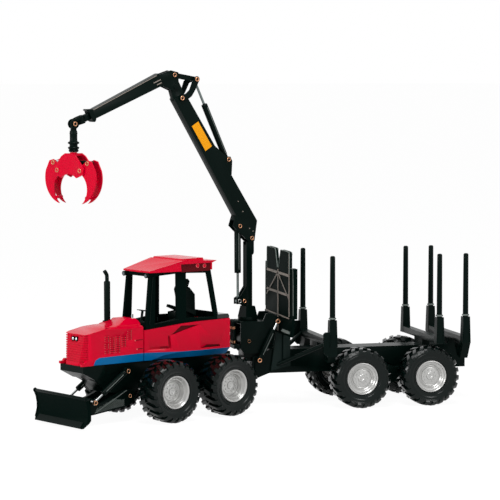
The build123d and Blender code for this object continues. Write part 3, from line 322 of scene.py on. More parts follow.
class Draft:
    """A drawing in millimetres, shaped by operators."""

    def __init__(self) -> None:
        """Start with nothing drawn."""
        self.mesh = bmesh.new()

    def slab(self, corners: Iterable[Vector], shift: Vector) -> None:
        """Draw a face out by a shift.

        Args:
            corners: Its corners in order.
            shift: How far and which way it goes.
        """
        foot = [self.mesh.verts.new(corner) for corner in corners]
        face = self.mesh.faces.new(foot)
        top = verts_of(bmesh.ops.extrude_face_region(self.mesh, geom=[face])["geom"])
        bmesh.ops.translate(self.mesh, vec=shift, verts=top)
        self.face_outwards(foot + top)

    def prism(self, outline: Sequence[Spot], sheet: Sheet, low: float, high: float) -> None:
        """Draw an outline out between two depths."""
        self.slab([sheet.point(first, second, low) for first, second in outline],
                  sheet.point(0, 0, high - low))

    def both(self, outline: Sequence[Spot], sheet: Sheet, inner: float, outer: float) -> None:
        """Draw an outline out on both sides of the middle, between two distances from it."""
        self.prism(outline, sheet, inner, outer)
        self.prism(outline, sheet, -outer, -inner)

    def lathe(self, outline: Sequence[Spot], centre: Sequence[float], axis: Sequence[float],
              steps: int = 24) -> None:
        """Spin an open or closed outline of (radius, distance along the axis).

        Args:
            outline: The points; a closed ring repeats its first point at the end.
            centre: A point on the axis, from which distances count.
            axis: The axis.
            steps: Faces round the axis.
        """
        line, middle = Vector(axis).normalized(), Vector(centre)
        side = line.orthogonal().normalized()
        ring = [self.mesh.verts.new(middle + side * radius + line * along) for radius, along in outline]
        edges = [self.mesh.edges.new(pair) for pair in zip(ring, ring[1:])]
        before = set(self.mesh.verts) - set(ring)
        bmesh.ops.spin(self.mesh, geom=ring + edges, cent=middle, axis=line, angle=FULL_TURN, steps=steps,
                       use_merge=True)
        made = [vert for vert in self.mesh.verts if vert not in before]
        bmesh.ops.remove_doubles(self.mesh, verts=made, dist=WELD_MM)
        self.face_outwards([vert for vert in self.mesh.verts if vert not in before])

    def bar(self, start: Sequence[float], end: Sequence[float], radius: float, edge: float = 0.15,
            steps: int = 20) -> None:
        """A round bar with rounded ends.

        Args:
            start: The middle of one end.
            end: The middle of the other.
            radius: Its radius.
            edge: How far its ends are rounded.
            steps: Faces round it.
        """
        line = Vector(end) - Vector(start)
        outline = [(0, 0), (radius - edge, 0), (radius - 0.3 * edge, 0.3 * edge), (radius, edge),
                   (radius, line.length - edge), (radius - 0.3 * edge, line.length - 0.3 * edge),
                   (radius - edge, line.length), (0, line.length)]
        self.lathe(outline, start, line, steps)

    def pipe(self, route: Sequence[Sequence[float]], radius: float) -> None:
        """A round pipe along a smooth route.

        Args:
            route: The control points of its line.
            radius: Its radius.
        """
        curve = bpy.data.curves.new("route", "CURVE")
        curve.dimensions = "3D"
        curve.bevel_depth = radius
        curve.bevel_resolution = 4
        curve.resolution_u = 8
        curve.use_fill_caps = True
        spline = curve.splines.new("NURBS")
        spline.points.add(len(route) - 1)
        for point, spot in zip(spline.points, route):
            point.co = (*spot, 1.0)
        spline.order_u = 3
        spline.use_endpoint_u = True
        holder = bpy.data.objects.new("route", curve)
        made = bpy.data.meshes.new_from_object(holder)
        self.mesh.from_mesh(made)
        bmesh.ops.remove_doubles(self.mesh, verts=self.mesh.verts, dist=WELD_MM)
        bmesh.ops.recalc_face_normals(self.mesh, faces=self.mesh.faces)
        bpy.data.meshes.remove(made)
        bpy.data.objects.remove(holder)
        bpy.data.curves.remove(curve)

    def face_outwards(self, verts: Iterable[bmesh.types.BMVert]) -> None:
        """Turn the faces on some vertices outwards."""
        bmesh.ops.recalc_face_normals(self.mesh, faces=list({face for vert in verts
                                                             for face in vert.link_faces}))


# ---------------------------------------------------------------- pieces
class Bench:
    """Where drawings and castings become pieces that ride on the frame."""

    def __init__(self, frame: dict) -> None:
        """Keep the frame and where its units stand.
        """
        self.frame = frame
        self.site = Site(frame["joints"])
        self.body_of = {node: body for body, nodes in frame["record"]["behaviour"]["bodies"].items()
                        for node in nodes}

    def place(self, name: str, drawing: BMesh, unit: Unit | None, finish: Finish, body: str,
              replaces: Sequence[str] = ()) -> bpy.types.Object:
        """Make a drawing a piece.

        Args:
            name: The piece's name.
            drawing: The mesh, which is freed.
            unit: The frame it is drawn in, in millimetres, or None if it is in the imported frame, in metres.
            finish: Its surface.
            body: The body it rides on.
            replaces: CAD nodes that it stands for.

        Returns:
            The new object.
        """
        if unit:
            drawing.transform(self.site.matrix(unit))
        mesh = bpy.data.meshes.new(name)
        drawing.to_mesh(mesh)
        drawing.free()
        mesh.materials.append(finish.material())
        mesh.shade_smooth()
        mesh.set_sharp_from_angle(angle=SHARP_ANGLE)
        piece = stand(name, mesh)
        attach(piece, body)
        if replaces:
            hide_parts(*replaces)
        log.info("piece %s on %s, %d faces", name, body, len(mesh.polygons))
        return piece

    def casting(self, node: str, finish: Finish, edge_mm: float = 0.22,
                trim: Callable[[BMesh], None] | None = None) -> bpy.types.Object:
        """A CAD node's own shape with its edges rounded as a casting's are.

        Args:
            node: The CAD node that it stands for.
            finish: Its surface.
            edge_mm: Radius of its edges.
            trim: What cuts the copy to its last shape, if anything does.

        Returns:
            The new object.
        """
        shape = bmesh.new()
        shape.from_mesh(self.frame["nodes"][node].data)
        bmesh.ops.remove_doubles(shape, verts=shape.verts, dist=CAD_WELD_M)
        if trim:
            trim(shape)
        bmesh.ops.join_triangles(shape, faces=shape.faces, angle_face_threshold=FLAT_ANGLE,
                                 angle_shape_threshold=math.pi)
        piece = self.place(f"{node}_cast", shape, None, finish, self.body_of[node], (node,))
        soften(piece, edge_mm)
        return piece


def soften(piece: bpy.types.Object, edge_mm: float, segments: int = 2) -> None:
    """Round a piece's sharp edges with a live bevel.

    Args:
        piece: The object.
        edge_mm: Width of the bevel.
        segments: Faces across each rounded edge.
    """
    bevel = piece.modifiers.new("edges", "BEVEL")
    bevel.width = edge_mm * MM
    bevel.segments = segments
    bevel.limit_method = "ANGLE"
    bevel.angle_limit = SHARP_ANGLE
    bevel.harden_normals = True
    bevel.miter_outer = "MITER_ARC"


@dataclass
class Fittings:
    """What sub-assemblies share: the bench, and the unit and body that most of their pieces have."""

    bench: Bench
    unit: ClassVar[Unit]
    body: ClassVar[str]

    def put(self, name: str, drawing: Draft, finish: Finish, body: str = "", unit: Unit | None = None,
            replaces: Sequence[str] = (), edge_mm: float = 0.0) -> None:
        """Make a drawing one of the sub-assembly's pieces.

        Args:
            name: The piece's name.
            drawing: Its drawing, which is used up.
            finish: Its surface.
            body: The body it rides on, where that isn't the usual one.
            unit: The frame it is drawn in, where that isn't the usual one.
            replaces: CAD nodes that it stands for.
            edge_mm: Radius of its edges, if they are rounded.
        """
        piece = self.bench.place(name, drawing.mesh, unit or self.unit, finish, body or self.body, replaces)
        if edge_mm:
            soften(piece, edge_mm)


def spin_wheel(shape: BMesh, outline: Sequence[Spot], steps: int, closed: bool = False) -> None:
    """Spin an outline of (radius, y) round the axle, which is the Y axis.

    Args:
        shape: The drawing to add to.
        outline: The points.
        steps: Faces round the axle.
        closed: Whether the last point joins the first.
    """
    verts = [shape.verts.new((radius, y, 0)) for radius, y in outline]
    ends = verts[1:] + verts[:1] if closed else verts[1:]
    edges = [shape.edges.new(pair) for pair in zip(verts, ends)]
    bmesh.ops.spin(shape, geom=verts + edges, cent=(0, 0, 0), axis=(0, 1, 0), angle=FULL_TURN, steps=steps,
                   use_merge=True)
    if not closed:
        bmesh.ops.remove_doubles(shape, verts=shape.verts, dist=0.001)
    bmesh.ops.recalc_face_normals(shape, faces=shape.faces)


# ---------------------------------------------------------------- wheels
@dataclass
class Tyre:
    """A wide tyre with two staggered rows of slanted lugs."""

    radius: float = 19.0
    half_width: float = 8.5
    carcass: float = 17.3
    lugs: int = 22
    lug_width: float = 2.5
    slant: float = 3.4
    bead: float = 10.25
    # a lug's rows of faces, its start from the middle plane, and how far it stands past the wall
    stations: int = 7
    lug_start: float = 0.15
    overhang: float = 0.25
    # share of a lug's length where it folds over the shoulder, and how far it falls there
    shoulder: float = 0.72
    fall: float = 2.3

    def draw(self) -> BMesh:
        """The carcass with its lugs, axle along Y, round the origin."""
        tyre = bmesh.new()
        self.spin_carcass(tyre)
        pitch = FULL_TURN / self.lugs
        for side in SIDES:
            for lug in range(self.lugs):
                self.add_lug(tyre, side, lug * pitch + (pitch / 2 if side < 0 else 0))
        return tyre

    def spin_carcass(self, tyre: BMesh) -> None:
        """Spin the cross-section: bead, bulging side wall with two raised rings, and crown.

        Args:
            tyre: The drawing to add to.
        """
        half = [(self.bead, 5.6), (self.bead + 0.35, 6.9), (self.bead + 1.0, 7.35), (self.bead + 1.6, 7.3),
                (12.6, 7.95), (13.9, 8.3), (14.9, 8.35), (15.25, 8.55), (15.55, 8.3), (16.3, 8.0),
                (self.carcass - 0.15, 7.0), (self.carcass + 0.1, 4.5), (self.carcass + 0.25, 0.0)]
        ring = half + [(r, -y) for r, y in reversed(half[:-1])]
        spin_wheel(tyre, ring, 72, closed=True)

    def add_lug(self, tyre: BMesh, side: int, angle: float) -> None:
        """One lug: a bar that slants back from the middle and folds over the shoulder.

        Args:
            tyre: The drawing to add to.
            side: 1 for the outer row, -1 for the inner one.
            angle: Where it starts round the tyre.
        """
        grid = bmesh.ops.create_grid(tyre, x_segments=self.stations, y_segments=1, size=0.5)
        top = grid["verts"]
        faces = list({face for vert in top for face in vert.link_faces})
        foot = verts_of(bmesh.ops.extrude_face_region(tyre, geom=faces)["geom"])
        bmesh.ops.reverse_faces(tyre, faces=faces)
        for verts, flare, sunk in ((foot, 0.0, 0.0), (top, 0.45, self.fall)):
            for vert in verts:
                along, across = vert.co.x + 0.5, vert.co.y * 2
                y = self.lug_start + along * (self.half_width + self.overhang - self.lug_start)
                fall = max(0.0, along - self.shoulder) / (1 - self.shoulder)
                height = self.radius - 0.35 * along ** 2 - self.fall * fall ** 2 - sunk
                half = self.lug_width * (0.42 + 0.12 * along) + flare
                shift = self.slant * (along - 0.35) + across * half
                turn = angle + shift / self.radius
                y -= 0.35 * sunk * fall
                vert.co = Vector((height * math.sin(turn), side * y, height * math.cos(turn)))
        if side < 0:
            bmesh.ops.reverse_faces(tyre, faces=list({face for vert in top + foot
                                                      for face in vert.link_faces}))


@dataclass
class Rim:
    """A dished silver rim with its ring of bolts."""

    lip: float = 10.2
    face: float = 7.1
    depth: float = 4.4
    bolts: int = 10
    bolt_ring: float = 4.0

    def draw(self) -> BMesh:
        """The rim with its bolts, outer face towards +Y, round the origin."""
        rim = bmesh.new()
        floor = self.face - self.depth
        outline = [(self.lip, -6.4), (self.lip, self.face - 0.5), (self.lip - 0.25, self.face - 0.1),
                   (self.lip - 0.7, self.face), (self.lip - 1.1, self.face - 0.35),
                   (self.lip - 1.4, self.face - 1.0),
                   (8.3, floor + 0.62 * self.depth), (7.95, floor + 0.5 * self.depth),
                   (7.6, floor + 0.48 * self.depth),
                   (7.0, floor + 0.2 * self.depth), (6.75, floor + 0.12 * self.depth),
                   (6.5, floor + 0.14 * self.depth),
                   (6.15, floor - 0.25), (5.8, floor - 0.35), (5.55, floor), (5.2, floor + 0.12),
                   (2.7, floor + 0.1),
                   (2.45, floor + 0.2), (2.3, floor + 0.75), (2.05, floor + 0.95), (1.2, floor + 1.0),
                   (0.95, floor + 0.75), (0.0, floor + 0.7)]
        spin_wheel(rim, outline, 64)
        for bolt in range(self.bolts):
            turn = FULL_TURN * bolt / self.bolts
            place = (Matrix.Translation((self.bolt_ring * math.cos(turn), floor + 0.3,
                                         self.bolt_ring * math.sin(turn)))
                     @ Matrix.Rotation(-math.pi / 2, 4, "X"))
            bmesh.ops.create_cone(rim, cap_ends=True, segments=12, radius1=0.5, radius2=0.36, depth=0.6,
                                  matrix=place)
        return rim


@dataclass
class Wheels:
    """All eight wheels, each a tyre and a rim on its own spinning body."""

    bench: Bench
    track: float = 28.0
    pitch: float = 45.5
    front_bogie: float = 54.2
    rear_bogie: float = -95.0
    hub: float = 19.0

    def build(self) -> None:
        """Place a tyre and a rim for each wheel."""
        for unit, centre, depth in ((Unit.FRONT, self.front_bogie, 4.9), (Unit.REAR, self.rear_bogie, 2.9)):
            for row, x in (("fore", centre + self.pitch / 2), ("aft", centre - self.pitch / 2)):
                for side, sign in (("left", 1), ("right", -1)):
                    name = f"{unit.value}_{row}_{side}"
                    spot = Matrix.Translation((x, sign * self.track, self.hub))
                    if sign < 0:
                        spot = spot @ Matrix.Rotation(math.pi, 4, "Z")
                    tyre = Tyre().draw()
                    tyre.transform(spot)
                    self.bench.place(f"{name}_lugged_tyre", tyre, unit, RUBBER, name, (f"{name}_tyre",))
                    rim = Rim(depth=depth).draw()
                    rim.transform(spot)
                    self.bench.place(f"{name}_bolted_rim", rim, unit, SILVER, name, (f"{name}_rim",))


# ---------------------------------------------------------------- front unit
@dataclass
class Hood(Fittings):
    """What dresses the hood: headlamps, louvres and panel seams."""

    unit: ClassVar[Unit] = Unit.FRONT
    body: ClassVar[str] = "front_unit"
    nose_low: Spot = (128.9, 38.0)
    nose_top: Spot = (126.6, 55.3)
    lamp_y: float = 1.65
    lamp_z: float = 52.4
    # sections of a lamp's ring and glass, as (radius, distance ahead)
    ring: Outline = ((0.95, -0.3), (1.4, -0.3), (1.4, 0.7), (1.25, 0.85), (1.05, 0.8), (0.95, 0.5),
                     (0.95, -0.3))
    glass: Outline = ((0, -0.2), (1.0, -0.2), (1.0, 0.45), (0.82, 0.75), (0.5, 0.92), (0, 1.0))
    side_front: Spot = (123.5, 11.3)
    side_rear: Spot = (84.6, 12.2)
    seams: tuple[tuple[Spot, Spot], ...] = (((84.8, 49.7), (90.9, 49.7)), ((84.8, 44.3), (89.4, 44.3)))
    seam_width: float = 0.34
    louvre_depth: float = 0.5
    louvre_width: float = 3.2
    slat_pitch: float = 1.25
    # rear edge, top and bottom of each louvred panel
    louvres: tuple[Triple, ...] = (
        (109.9, 54.0, 50.2), (109.9, 49.4, 46.0), (109.9, 45.4, 42.9), (105.9, 53.0, 42.9),
        (101.8, 53.5, 42.9),
        (97.5, 52.8, 46.2), (93.2, 56.3, 50.2))

    def nose_at(self, z: float) -> float:
        """How far ahead the leaning nose is at a height."""
        return between(self.nose_low[::-1], self.nose_top[::-1], z)[0]

    def side_at(self, x: float) -> float:
        """Half width of the hood at a distance ahead."""
        return between(self.side_front, self.side_rear, x)[0]

    def build(self) -> None:
        """Make the lamps, the louvres and the seams."""
        self.hang_lamps()
        self.fit_louvres()
        self.scribe_seams()

    def hang_lamps(self) -> None:
        """Two small lamps side by side, each in a dark ring."""
        rings, glass = Draft(), Draft()
        for sign in SIDES:
            spot = (self.nose_at(self.lamp_z) - 0.5, sign * self.lamp_y, self.lamp_z)
            rings.lathe(self.ring, spot, (1, 0, 0))
            glass.lathe(self.glass, spot, (1, 0, 0))
        self.put("lamp_rings", rings, BLACK_PLASTIC)
        self.put("lamp_glasses", glass, CHROME, replaces=("headlamps",))

    def fit_louvres(self) -> None:
        """Slats that lean out over each sunken panel, with a floor darkened as painted shade and spots at
        their ends painted pale as highlight.
        """
        floor, slats, ends = Draft(), Draft(), Draft()
        for x, top, low in self.louvres:
            middle = self.side_at(x + self.louvre_width / 2) - self.louvre_depth
            floor.both([(x, low), (x + self.louvre_width, low), (x + self.louvre_width, top), (x, top)],
                       Sheet.SIDE,
                       middle - 0.1, middle + 0.06)
            count = round((top - low) / self.slat_pitch)
            pitch = (top - low) / count
            for slat in range(count):
                z = low + slat * pitch
                for sign in SIDES:
                    section = [(sign * (middle - 0.1), z + 0.25), (sign * (middle + 0.5), z + 0.25),
                               (sign * (middle + 0.42), z + 0.5), (sign * (middle + 0.05), z + 0.9 * pitch),
                               (sign * (middle - 0.1), z + 0.9 * pitch)]
                    slats.prism(section, Sheet.FRONT, x + 0.45, x + self.louvre_width - 0.1)
                    for end in (x + 0.28, x + self.louvre_width - 0.2):
                        ends.bar((end, sign * (middle - 0.2), z + 0.45),
                                 (end, sign * (middle + 0.55), z + 0.45), 0.24,
                                 0.1, 8)
        self.put("louvre_floors", floor, SHADE_AND_SEAM_RED)
        self.put("louvre_slats", slats, RED)
        self.put("louvre_ends", ends, HIGHLIGHT_RED)

    def scribe_seams(self) -> None:
        """Thin seams of the side panel, and its two catches, painted pale as highlight."""
        seams, catches = Draft(), Draft()
        for (x0, z0), (x1, z1) in self.seams:
            y = self.side_at((x0 + x1) / 2)
            seams.both(strip((x0, z0), (x1, z1), self.seam_width), Sheet.SIDE, y - 0.2, y + 0.1)
            for sign in SIDES:
                catches.bar((x1, sign * (y - 0.2), z1 - 0.2), (x1, sign * (y + 0.35), z1 - 0.2), 0.42, 0.15,
                            10)
        self.put("side_seams", seams, SHADE_AND_SEAM_RED)
        self.put("side_catches", catches, HIGHLIGHT_RED)


@dataclass
class Cab(Fittings):
    """What dresses the cab: pocket floors and an eaves band darkened as painted shade, roof vents and lamps,
    exhaust and ribs.
    """

    unit: ClassVar[Unit] = Unit.FRONT
    body: ClassVar[str] = "front_unit"
    # (x, half width) of the tub's front end, and of the kink behind which it is parallel
    tub: tuple[Spot, Spot] = ((84.0, 12.6), (45.0, 16.6))
    pocket: float = 1.0
    step: Outline = ((80.2, 44.5), (80.2, 43.5), (65.1, 42.9), (65.1, 44.6), (66.1, 50.8),
        (67.3, 50.8), (66.9, 44.5))
    intake: Outline = ((57.9, 56.3), (45.0, 56.2), (61.3, 51.95), (64.6, 51.25))
    heel: Outline = ((43.2, 41.7), (38.6, 43.4), (28.6, 42.8), (28.2, 41.7))
    # the band under the eaves, dark as painted shade, as (x, y), and its two vents as (x, z, y)
    band: Outline = ((58.3, 15.72), (56.7, 15.96), (35.8, 16.33), (35.8, 16.1), (56.7, 15.75), (58.3, 15.5))
    vents: tuple[Triple, ...] = ((45.7, 92.9, 16.1), (40.3, 92.6, 16.2))
    vent: Outline = ((0, 0), (1.35, 0), (1.35, 0.25), (1.1, 0.45), (0.9, 0.3), (0, 0.3))
    # sections of a roof lamp's cup and glass, and which way it looks
    cup: Outline = (
        (0, -0.9), (0.9, -0.8), (1.35, -0.2), (1.5, 0.6), (1.5, 1.8), (1.3, 1.95), (1.1, 1.7), (0, 1.7))
    glass: Outline = ((0, 1.65), (1.12, 1.65), (0.95, 1.9), (0, 2.05))
    gaze: Triple = (1, 0, -0.12)
    exhaust: Spot = (96.5, -8.6)
    # section of the silencer as (radius, z)
    silencer: Outline = (
        (0, 59.0), (2.9, 59.0), (2.9, 60.2), (2.6, 60.5), (1.9, 60.6), (1.9, 60.9), (1.95, 61.4),
        (1.95, 83.9),
        (1.8, 84.4), (1.3, 84.7), (0, 84.8))
    # ribs of the left pillar and sill and a short stub on the sill, each with its radius
    ribs: tuple[tuple[float, tuple[Triple, ...]], ...] = (
        (0.3, ((80.4, 13.0, 58.6), (79.0, 12.9, 72.0), (77.5, 12.75, 87.5))),
        (0.28, ((77.0, 13.4, 58.6), (68.0, 14.2, 59.6), (59.6, 15.0, 60.4))),
        (0.35, ((74.0, 12.6, 60.2), (74.0, 12.6, 62.4))))

    def half_at(self, x: float) -> float:
        """Half width of the tub at a distance ahead."""
        front, kink = self.tub
        return kink[1] if x <= kink[0] else between(front, kink, x)[0]

    def build(self) -> None:
        """Make each group of fittings."""
        self.line_pockets()
        self.fit_roof()
        self.raise_exhaust()
        self.edge_pillars()

    def line_pockets(self) -> None:
        """Floors in the pockets of both sides, darkened as painted shade."""
        for name, outline, finish in (("step_groove", self.step, DEEP_RED),
                                      ("air_intake", self.intake, SHADE_AND_SEAM_RED),
                                      ("heel_recess", self.heel, SHADE_AND_SEAM_RED)):
            lining = Draft()
            for sign in SIDES:
                floor = [Vector((x, sign * (self.half_at(x) - self.pocket - 0.15), z)) for x, z in outline]
                lining.slab(floor, Vector((0, sign * 0.22, 0)))
            self.put(name, lining, finish)

    def fit_roof(self) -> None:
        """Band of painted shade under the eaves with two vents painted pale as highlight, and the two lamps
        under the visor.
        """
        band, vents, lamps, glass = Draft(), Draft(), Draft(), Draft()
        for sign in SIDES:
            band.prism([(x, sign * y) for x, y in self.band], Sheet.TOP, 89.4, 94.1)
            for x, z, y in self.vents:
                vents.lathe(self.vent, (x, sign * y, z), (0, sign, 0), 16)
            spot = (80.3, sign * 11.2, 88.5)
            lamps.lathe(self.cup, spot, self.gaze)
            lamps.bar((80.0, sign * 11.2, 89.4), (80.0, sign * 11.2, 90.2), 0.6, 0.1, 10)
            glass.lathe(self.glass, spot, self.gaze)
        self.put("eaves_bands", band, SHADE_AND_SEAM_RED)
        self.put("roof_vents", vents, HIGHLIGHT_RED)
        self.put("roof_lamp_cups", lamps, BLACK_PLASTIC, replaces=("roof_lamps",))
        self.put("roof_lamp_glasses", glass, SMOKED)

    def raise_exhaust(self) -> None:
        """Silencer with rounded shoulders and a pipe that bends forward at its top."""
        x, y = self.exhaust
        stack = Draft()
        stack.lathe(self.silencer, (x, y, 0), (0, 0, 1), 28)
        stack.pipe([(x, y, 84.0), (x, y, 87.4), (x + 0.3, y, 88.9), (x + 1.9, y, 90.9)], 1.2)
        self.put("exhaust_stack", stack, BLACK_PLASTIC, replaces=("exhaust",))

    def edge_pillars(self) -> None:
        """Ribs up the front pillars and along the sills of the doors."""
        ribs = Draft()
        for sign in SIDES:
            for radius, route in self.ribs:
                ribs.pipe([(x, sign * y, z) for x, y, z in route], radius)
        self.put("cab_ribs", ribs, BLACK)


@dataclass
class Blade(Fittings):
    """Tread pattern and rims of the push arms, painted pale as highlight, and the blade's bead, ears and
    cutting strip.
    """

    unit: ClassVar[Unit] = Unit.FRONT
    body: ClassVar[str] = "blade"
    arm_outer: float = 10.9
    pitch: float = 1.15
    # the strip of tread as (x, lowest, highest)
    stations: tuple[Triple, ...] = ((98.5, 10.6, 14.2), (107.2, 9.6, 14.8),
        (119.5, 8.0, 10.2))
    back: float = 134.2
    half: float = 26.6
    # section of the cutting strip as (distance ahead of the blade's back, z)
    strip: Outline = ((2.9, 5.3), (3.35, 5.5), (3.7, 4.7), (5.95, 1.9), (5.4, 1.7))
    arm_edge: Outline = ((96.5, 19.5), (108.0, 13.9), (120.3, 7.8))

    def span_at(self, x: float) -> Spot:
        """Lowest and highest point of the tread strip at a distance ahead."""
        first, second = (self.stations[:2] if x <= self.stations[1][0] else self.stations[1:])
        return between(first, second, x)

    def build(self) -> None:
        """Dress the arms and the blade."""
        self.stud_arms()
        self.rim_arms()
        self.edge_blade()

    def rim_arms(self) -> None:
        """A rim painted pale as highlight over the tread of both arms."""
        rims = Draft()
        for sign in SIDES:
            rims.pipe([(x, sign * (self.arm_outer + 0.05), z) for x, z in self.arm_edge], 0.28)
        self.put("arm_highlight_rims", rims, HIGHLIGHT_BLACK)

    def edge_blade(self) -> None:
        """Bead along the top with an ear at each corner, and the cutting strip along the foot."""
        bead, cutter = Draft(), Draft()
        top = (self.back + 3.6, 19.6)
        bead.bar((top[0], -self.half, top[1]), (top[0], self.half, top[1]), 0.95, 0.2)
        for sign in SIDES:
            bead.bar((top[0], sign * (self.half - 0.6), top[1]), (top[0], sign * (self.half + 0.35), top[1]),
                     1.35, 0.3)
        cutter.prism([(self.back + ahead, z) for ahead, z in self.strip], Sheet.SIDE,
                     3.8 - self.half, self.half - 3.8)
        self.put("blade_bead", bead, BLACK, edge_mm=0.1)
        self.put("cutting_strip", cutter, BLACK, edge_mm=0.15)

    def stud_arms(self) -> None:
        """Stud both arms with small pyramids, painted pale as highlight."""
        studs = Draft()
        row, x = 0, self.stations[0][0]
        while x < self.stations[-1][0]:
            low, high = self.span_at(x)
            z = low + (0.5 * self.pitch if row % 2 else 0.0)
            while z < high:
                for sign in SIDES:
                    place = (Matrix.Translation((x, sign * (self.arm_outer + 0.1), z))
                             @ Matrix.Rotation(-sign * math.pi / 2, 4, "X"))
                    bmesh.ops.create_cone(studs.mesh, cap_ends=True, segments=4, radius1=0.5, radius2=0.12,
                                          depth=0.4,
                                          matrix=place)
                z += self.pitch
            x += 0.5 * self.pitch
            row += 1
        self.put("arm_tread", studs, HIGHLIGHT_BLACK)


# ---------------------------------------------------------------- rear unit and crane
@dataclass
class Headboard(Fittings):
    """Raised plates, edges drawn pale as painted highlight, and grey lines of the panel between the crane and
    the bed.
    """

    unit: ClassVar[Unit] = Unit.REAR
    body: ClassVar[str] = "rear_unit"
    face: float = -26.5
    proud: float = 0.45
    # one of the two raised plates as (y, z), from the notch round to the post
    plate: Outline = ((27.0, 85.6), (27.0, 97.6), (26.4, 98.9), (25.0, 99.4), (7.4, 99.4),
        (6.3, 99.0), (5.7, 98.0), (1.3, 87.6), (1.3, 85.6))
    plate_depth: Spot = (-28.2, -26.3)
    # section of the flange along the panel's foot, as (x, z); it is drawn pale as painted highlight
    flange: Outline = ((-26.6, 49.4), (-26.1, 49.4), (-25.2, 48.0), (-26.6, 47.7))
    # (start, end, width) of each line as (y, z)
    lines: tuple[tuple[Spot, Spot, float], ...] = (
        ((-26.8, 84.4), (26.3, 84.4), 1.5), ((-26.8, 71.9), (26.3, 71.9), 1.35),
        ((0.0, 86.6), (0.0, 47.0), 1.15),
        ((0.0, 84.4), (26.3, 69.6), 0.95), ((0.0, 84.4), (-27.4, 68.4), 0.95),
        ((26.3, 98.4), (26.3, 58.6), 0.9),
        ((-29.5, 57.5), (26.3, 57.5), 0.7))

    def build(self) -> None:
        """Raise both plates and lay the lines."""
        self.raise_plates()
        self.lay_lines()

    def raise_plates(self) -> None:
        """Two plates with rounded corners, a narrow notch between them; their edges, the posts' edges and the
        foot flange are drawn pale as painted highlight.
        """
        plates, edges = Draft(), Draft()
        for sign in SIDES:
            plates.prism([(sign * y, z) for y, z in self.plate], Sheet.FRONT, *self.plate_depth)
            edges.pipe([(self.plate_depth[1], sign * y, z) for y, z in self.plate[:-1]], 0.3)
            edges.pipe([(self.plate_depth[0] + 0.1, sign * y, z) for y, z in self.plate[1:-2]], 0.25)
            post = [(self.face - 0.5, sign * 28.2, 89.2), (self.face - 0.5, sign * 32.2, 89.2)]
            edges.pipe([*post, (self.face - 0.5, sign * 33.1, 88.6), (self.face - 0.5, sign * 33.2, 60.0)],
                       0.22)
        edges.both(self.flange, Sheet.SIDE, 11.3, 27.6)
        self.put("headboard_plates", plates, MATT_BLACK, edge_mm=0.3)
        self.put("headboard_highlight_edges", edges, HIGHLIGHT_BLACK)

    def lay_lines(self) -> None:
        """Lay the lines on the panel's front."""
        drawing = Draft()
        for start, end, width in self.lines:
            drawing.prism(strip(start, end, width), Sheet.FRONT, self.face - 0.05, self.face + self.proud)
        self.put("headboard_lines", drawing, GREY_LINE_AND_HIGHLIGHT)


@dataclass
class Bed(Fittings):
    """Turned stakes with their rings, painted pale as highlight, and the brackets and ribs on the bolsters'
    ends.
    """

    unit: ClassVar[Unit] = Unit.REAR
    body: ClassVar[str] = "rear_unit"
    stake_y: float = 33.7
    stake_foot: float = 43.8
    stake_top: float = 97.0
    stake_radius: float = 1.62
    ring_z: float = 56.6
    socket: float = 2.7
    # section of a ring, as (radius, height)
    ring: Outline = ((1.75, 0), (2.35, 0), (2.35, 0.5), (2.15, 0.9), (1.9, 0.95), (1.75, 0.7), (1.75, 0))
    bolsters: tuple[float, ...] = (-52.5, -123.3, -140.9)
    # the front bolster's brackets, as (x, z) and (inner, outer)
    bracket: Outline = ((-46.0, 36.5), (-46.0, 48.0), (-47.2, 49.2), (-55.0, 49.2),
        (-55.0, 33.5), (-49.1, 33.5))
    bracket_y: Spot = (34.7, 36.1)

    def build(self) -> None:
        """Make the stakes, their rings, the brackets and the ribs."""
        stakes, rings, brackets = Draft(), Draft(), Draft()
        r, foot, top = self.stake_radius, self.stake_foot, self.stake_top
        outline = [(0, foot), (r, foot), (r, self.ring_z), (r + 0.16, self.ring_z + 1.2),
                   (r + 0.02, top - 8.0),
                   (r - 0.02, top - 0.9), (r - 0.25, top - 0.35), (r - 0.7, top - 0.05), (0, top)]
        brackets.both(self.bracket, Sheet.SIDE, *self.bracket_y)
        for x in self.bolsters:
            for offset in (-1.9, 1.9):
                rib = [(x + offset + side, z) for side, z in ((-0.3, 40.6), (0.3, 40.6), (0.3, 48.0),
                                                              (-0.3, 48.0))]
                brackets.both(rib, Sheet.SIDE, self.bracket_y[1] - 0.1, self.bracket_y[1] + 0.55)
            for sign in SIDES:
                stakes.lathe(outline, (x, sign * self.stake_y, 0), (0, 0, 1), 28)
                rings.lathe(self.ring, (x, sign * self.stake_y, self.ring_z + 0.6), (0, 0, 1))
        self.put("turned_stakes", stakes, BLACK, replaces=("stakes",))
        # the rings are painted pale as highlight
        self.put("stake_rings", rings, HIGHLIGHT_BLACK)
        self.put("bolster_brackets", brackets, BLACK, edge_mm=0.15)


@dataclass
class Gussets(Fittings):
    """Grey plates on the rear frame's cheeks and on the headboard's braces."""

    unit: ClassVar[Unit] = Unit.REAR
    body: ClassVar[str] = "rear_unit"
    cheek: float = 9.6
    brace: float = 11.2
    plate: Outline = ((-22.4, 47.6), (-26.5, 45.6), (-31.2, 45.6), (-31.8, 25.8), (-19.2, 22.7))
    strap: Outline = ((-26.7, 45.4), (-31.3, 45.4), (-31.3, 30.2), (-26.7, 30.2))

    def build(self) -> None:
        """Lay a thin plate on each cheek and a strap on each brace."""
        plates, straps = Draft(), Draft()
        plates.both(self.plate, Sheet.SIDE, self.cheek - 0.3, self.cheek + 0.04)
        straps.both(self.strap, Sheet.SIDE, self.brace - 0.2, self.brace + 0.25)
        self.put("gusset_plates", plates, GUSSET)
        self.put("brace_straps", straps, GUSSET, edge_mm=0.12)


@dataclass(frozen=True)
class Sleeve:
    """A cylinder's outer tube with its gland, from the foot pin towards the eye."""

    name: str
    body: str
    unit: Unit
    foot: Spot
    eye: Spot
    y: tuple[float, ...]
    start: float
    end: float
    radius: float


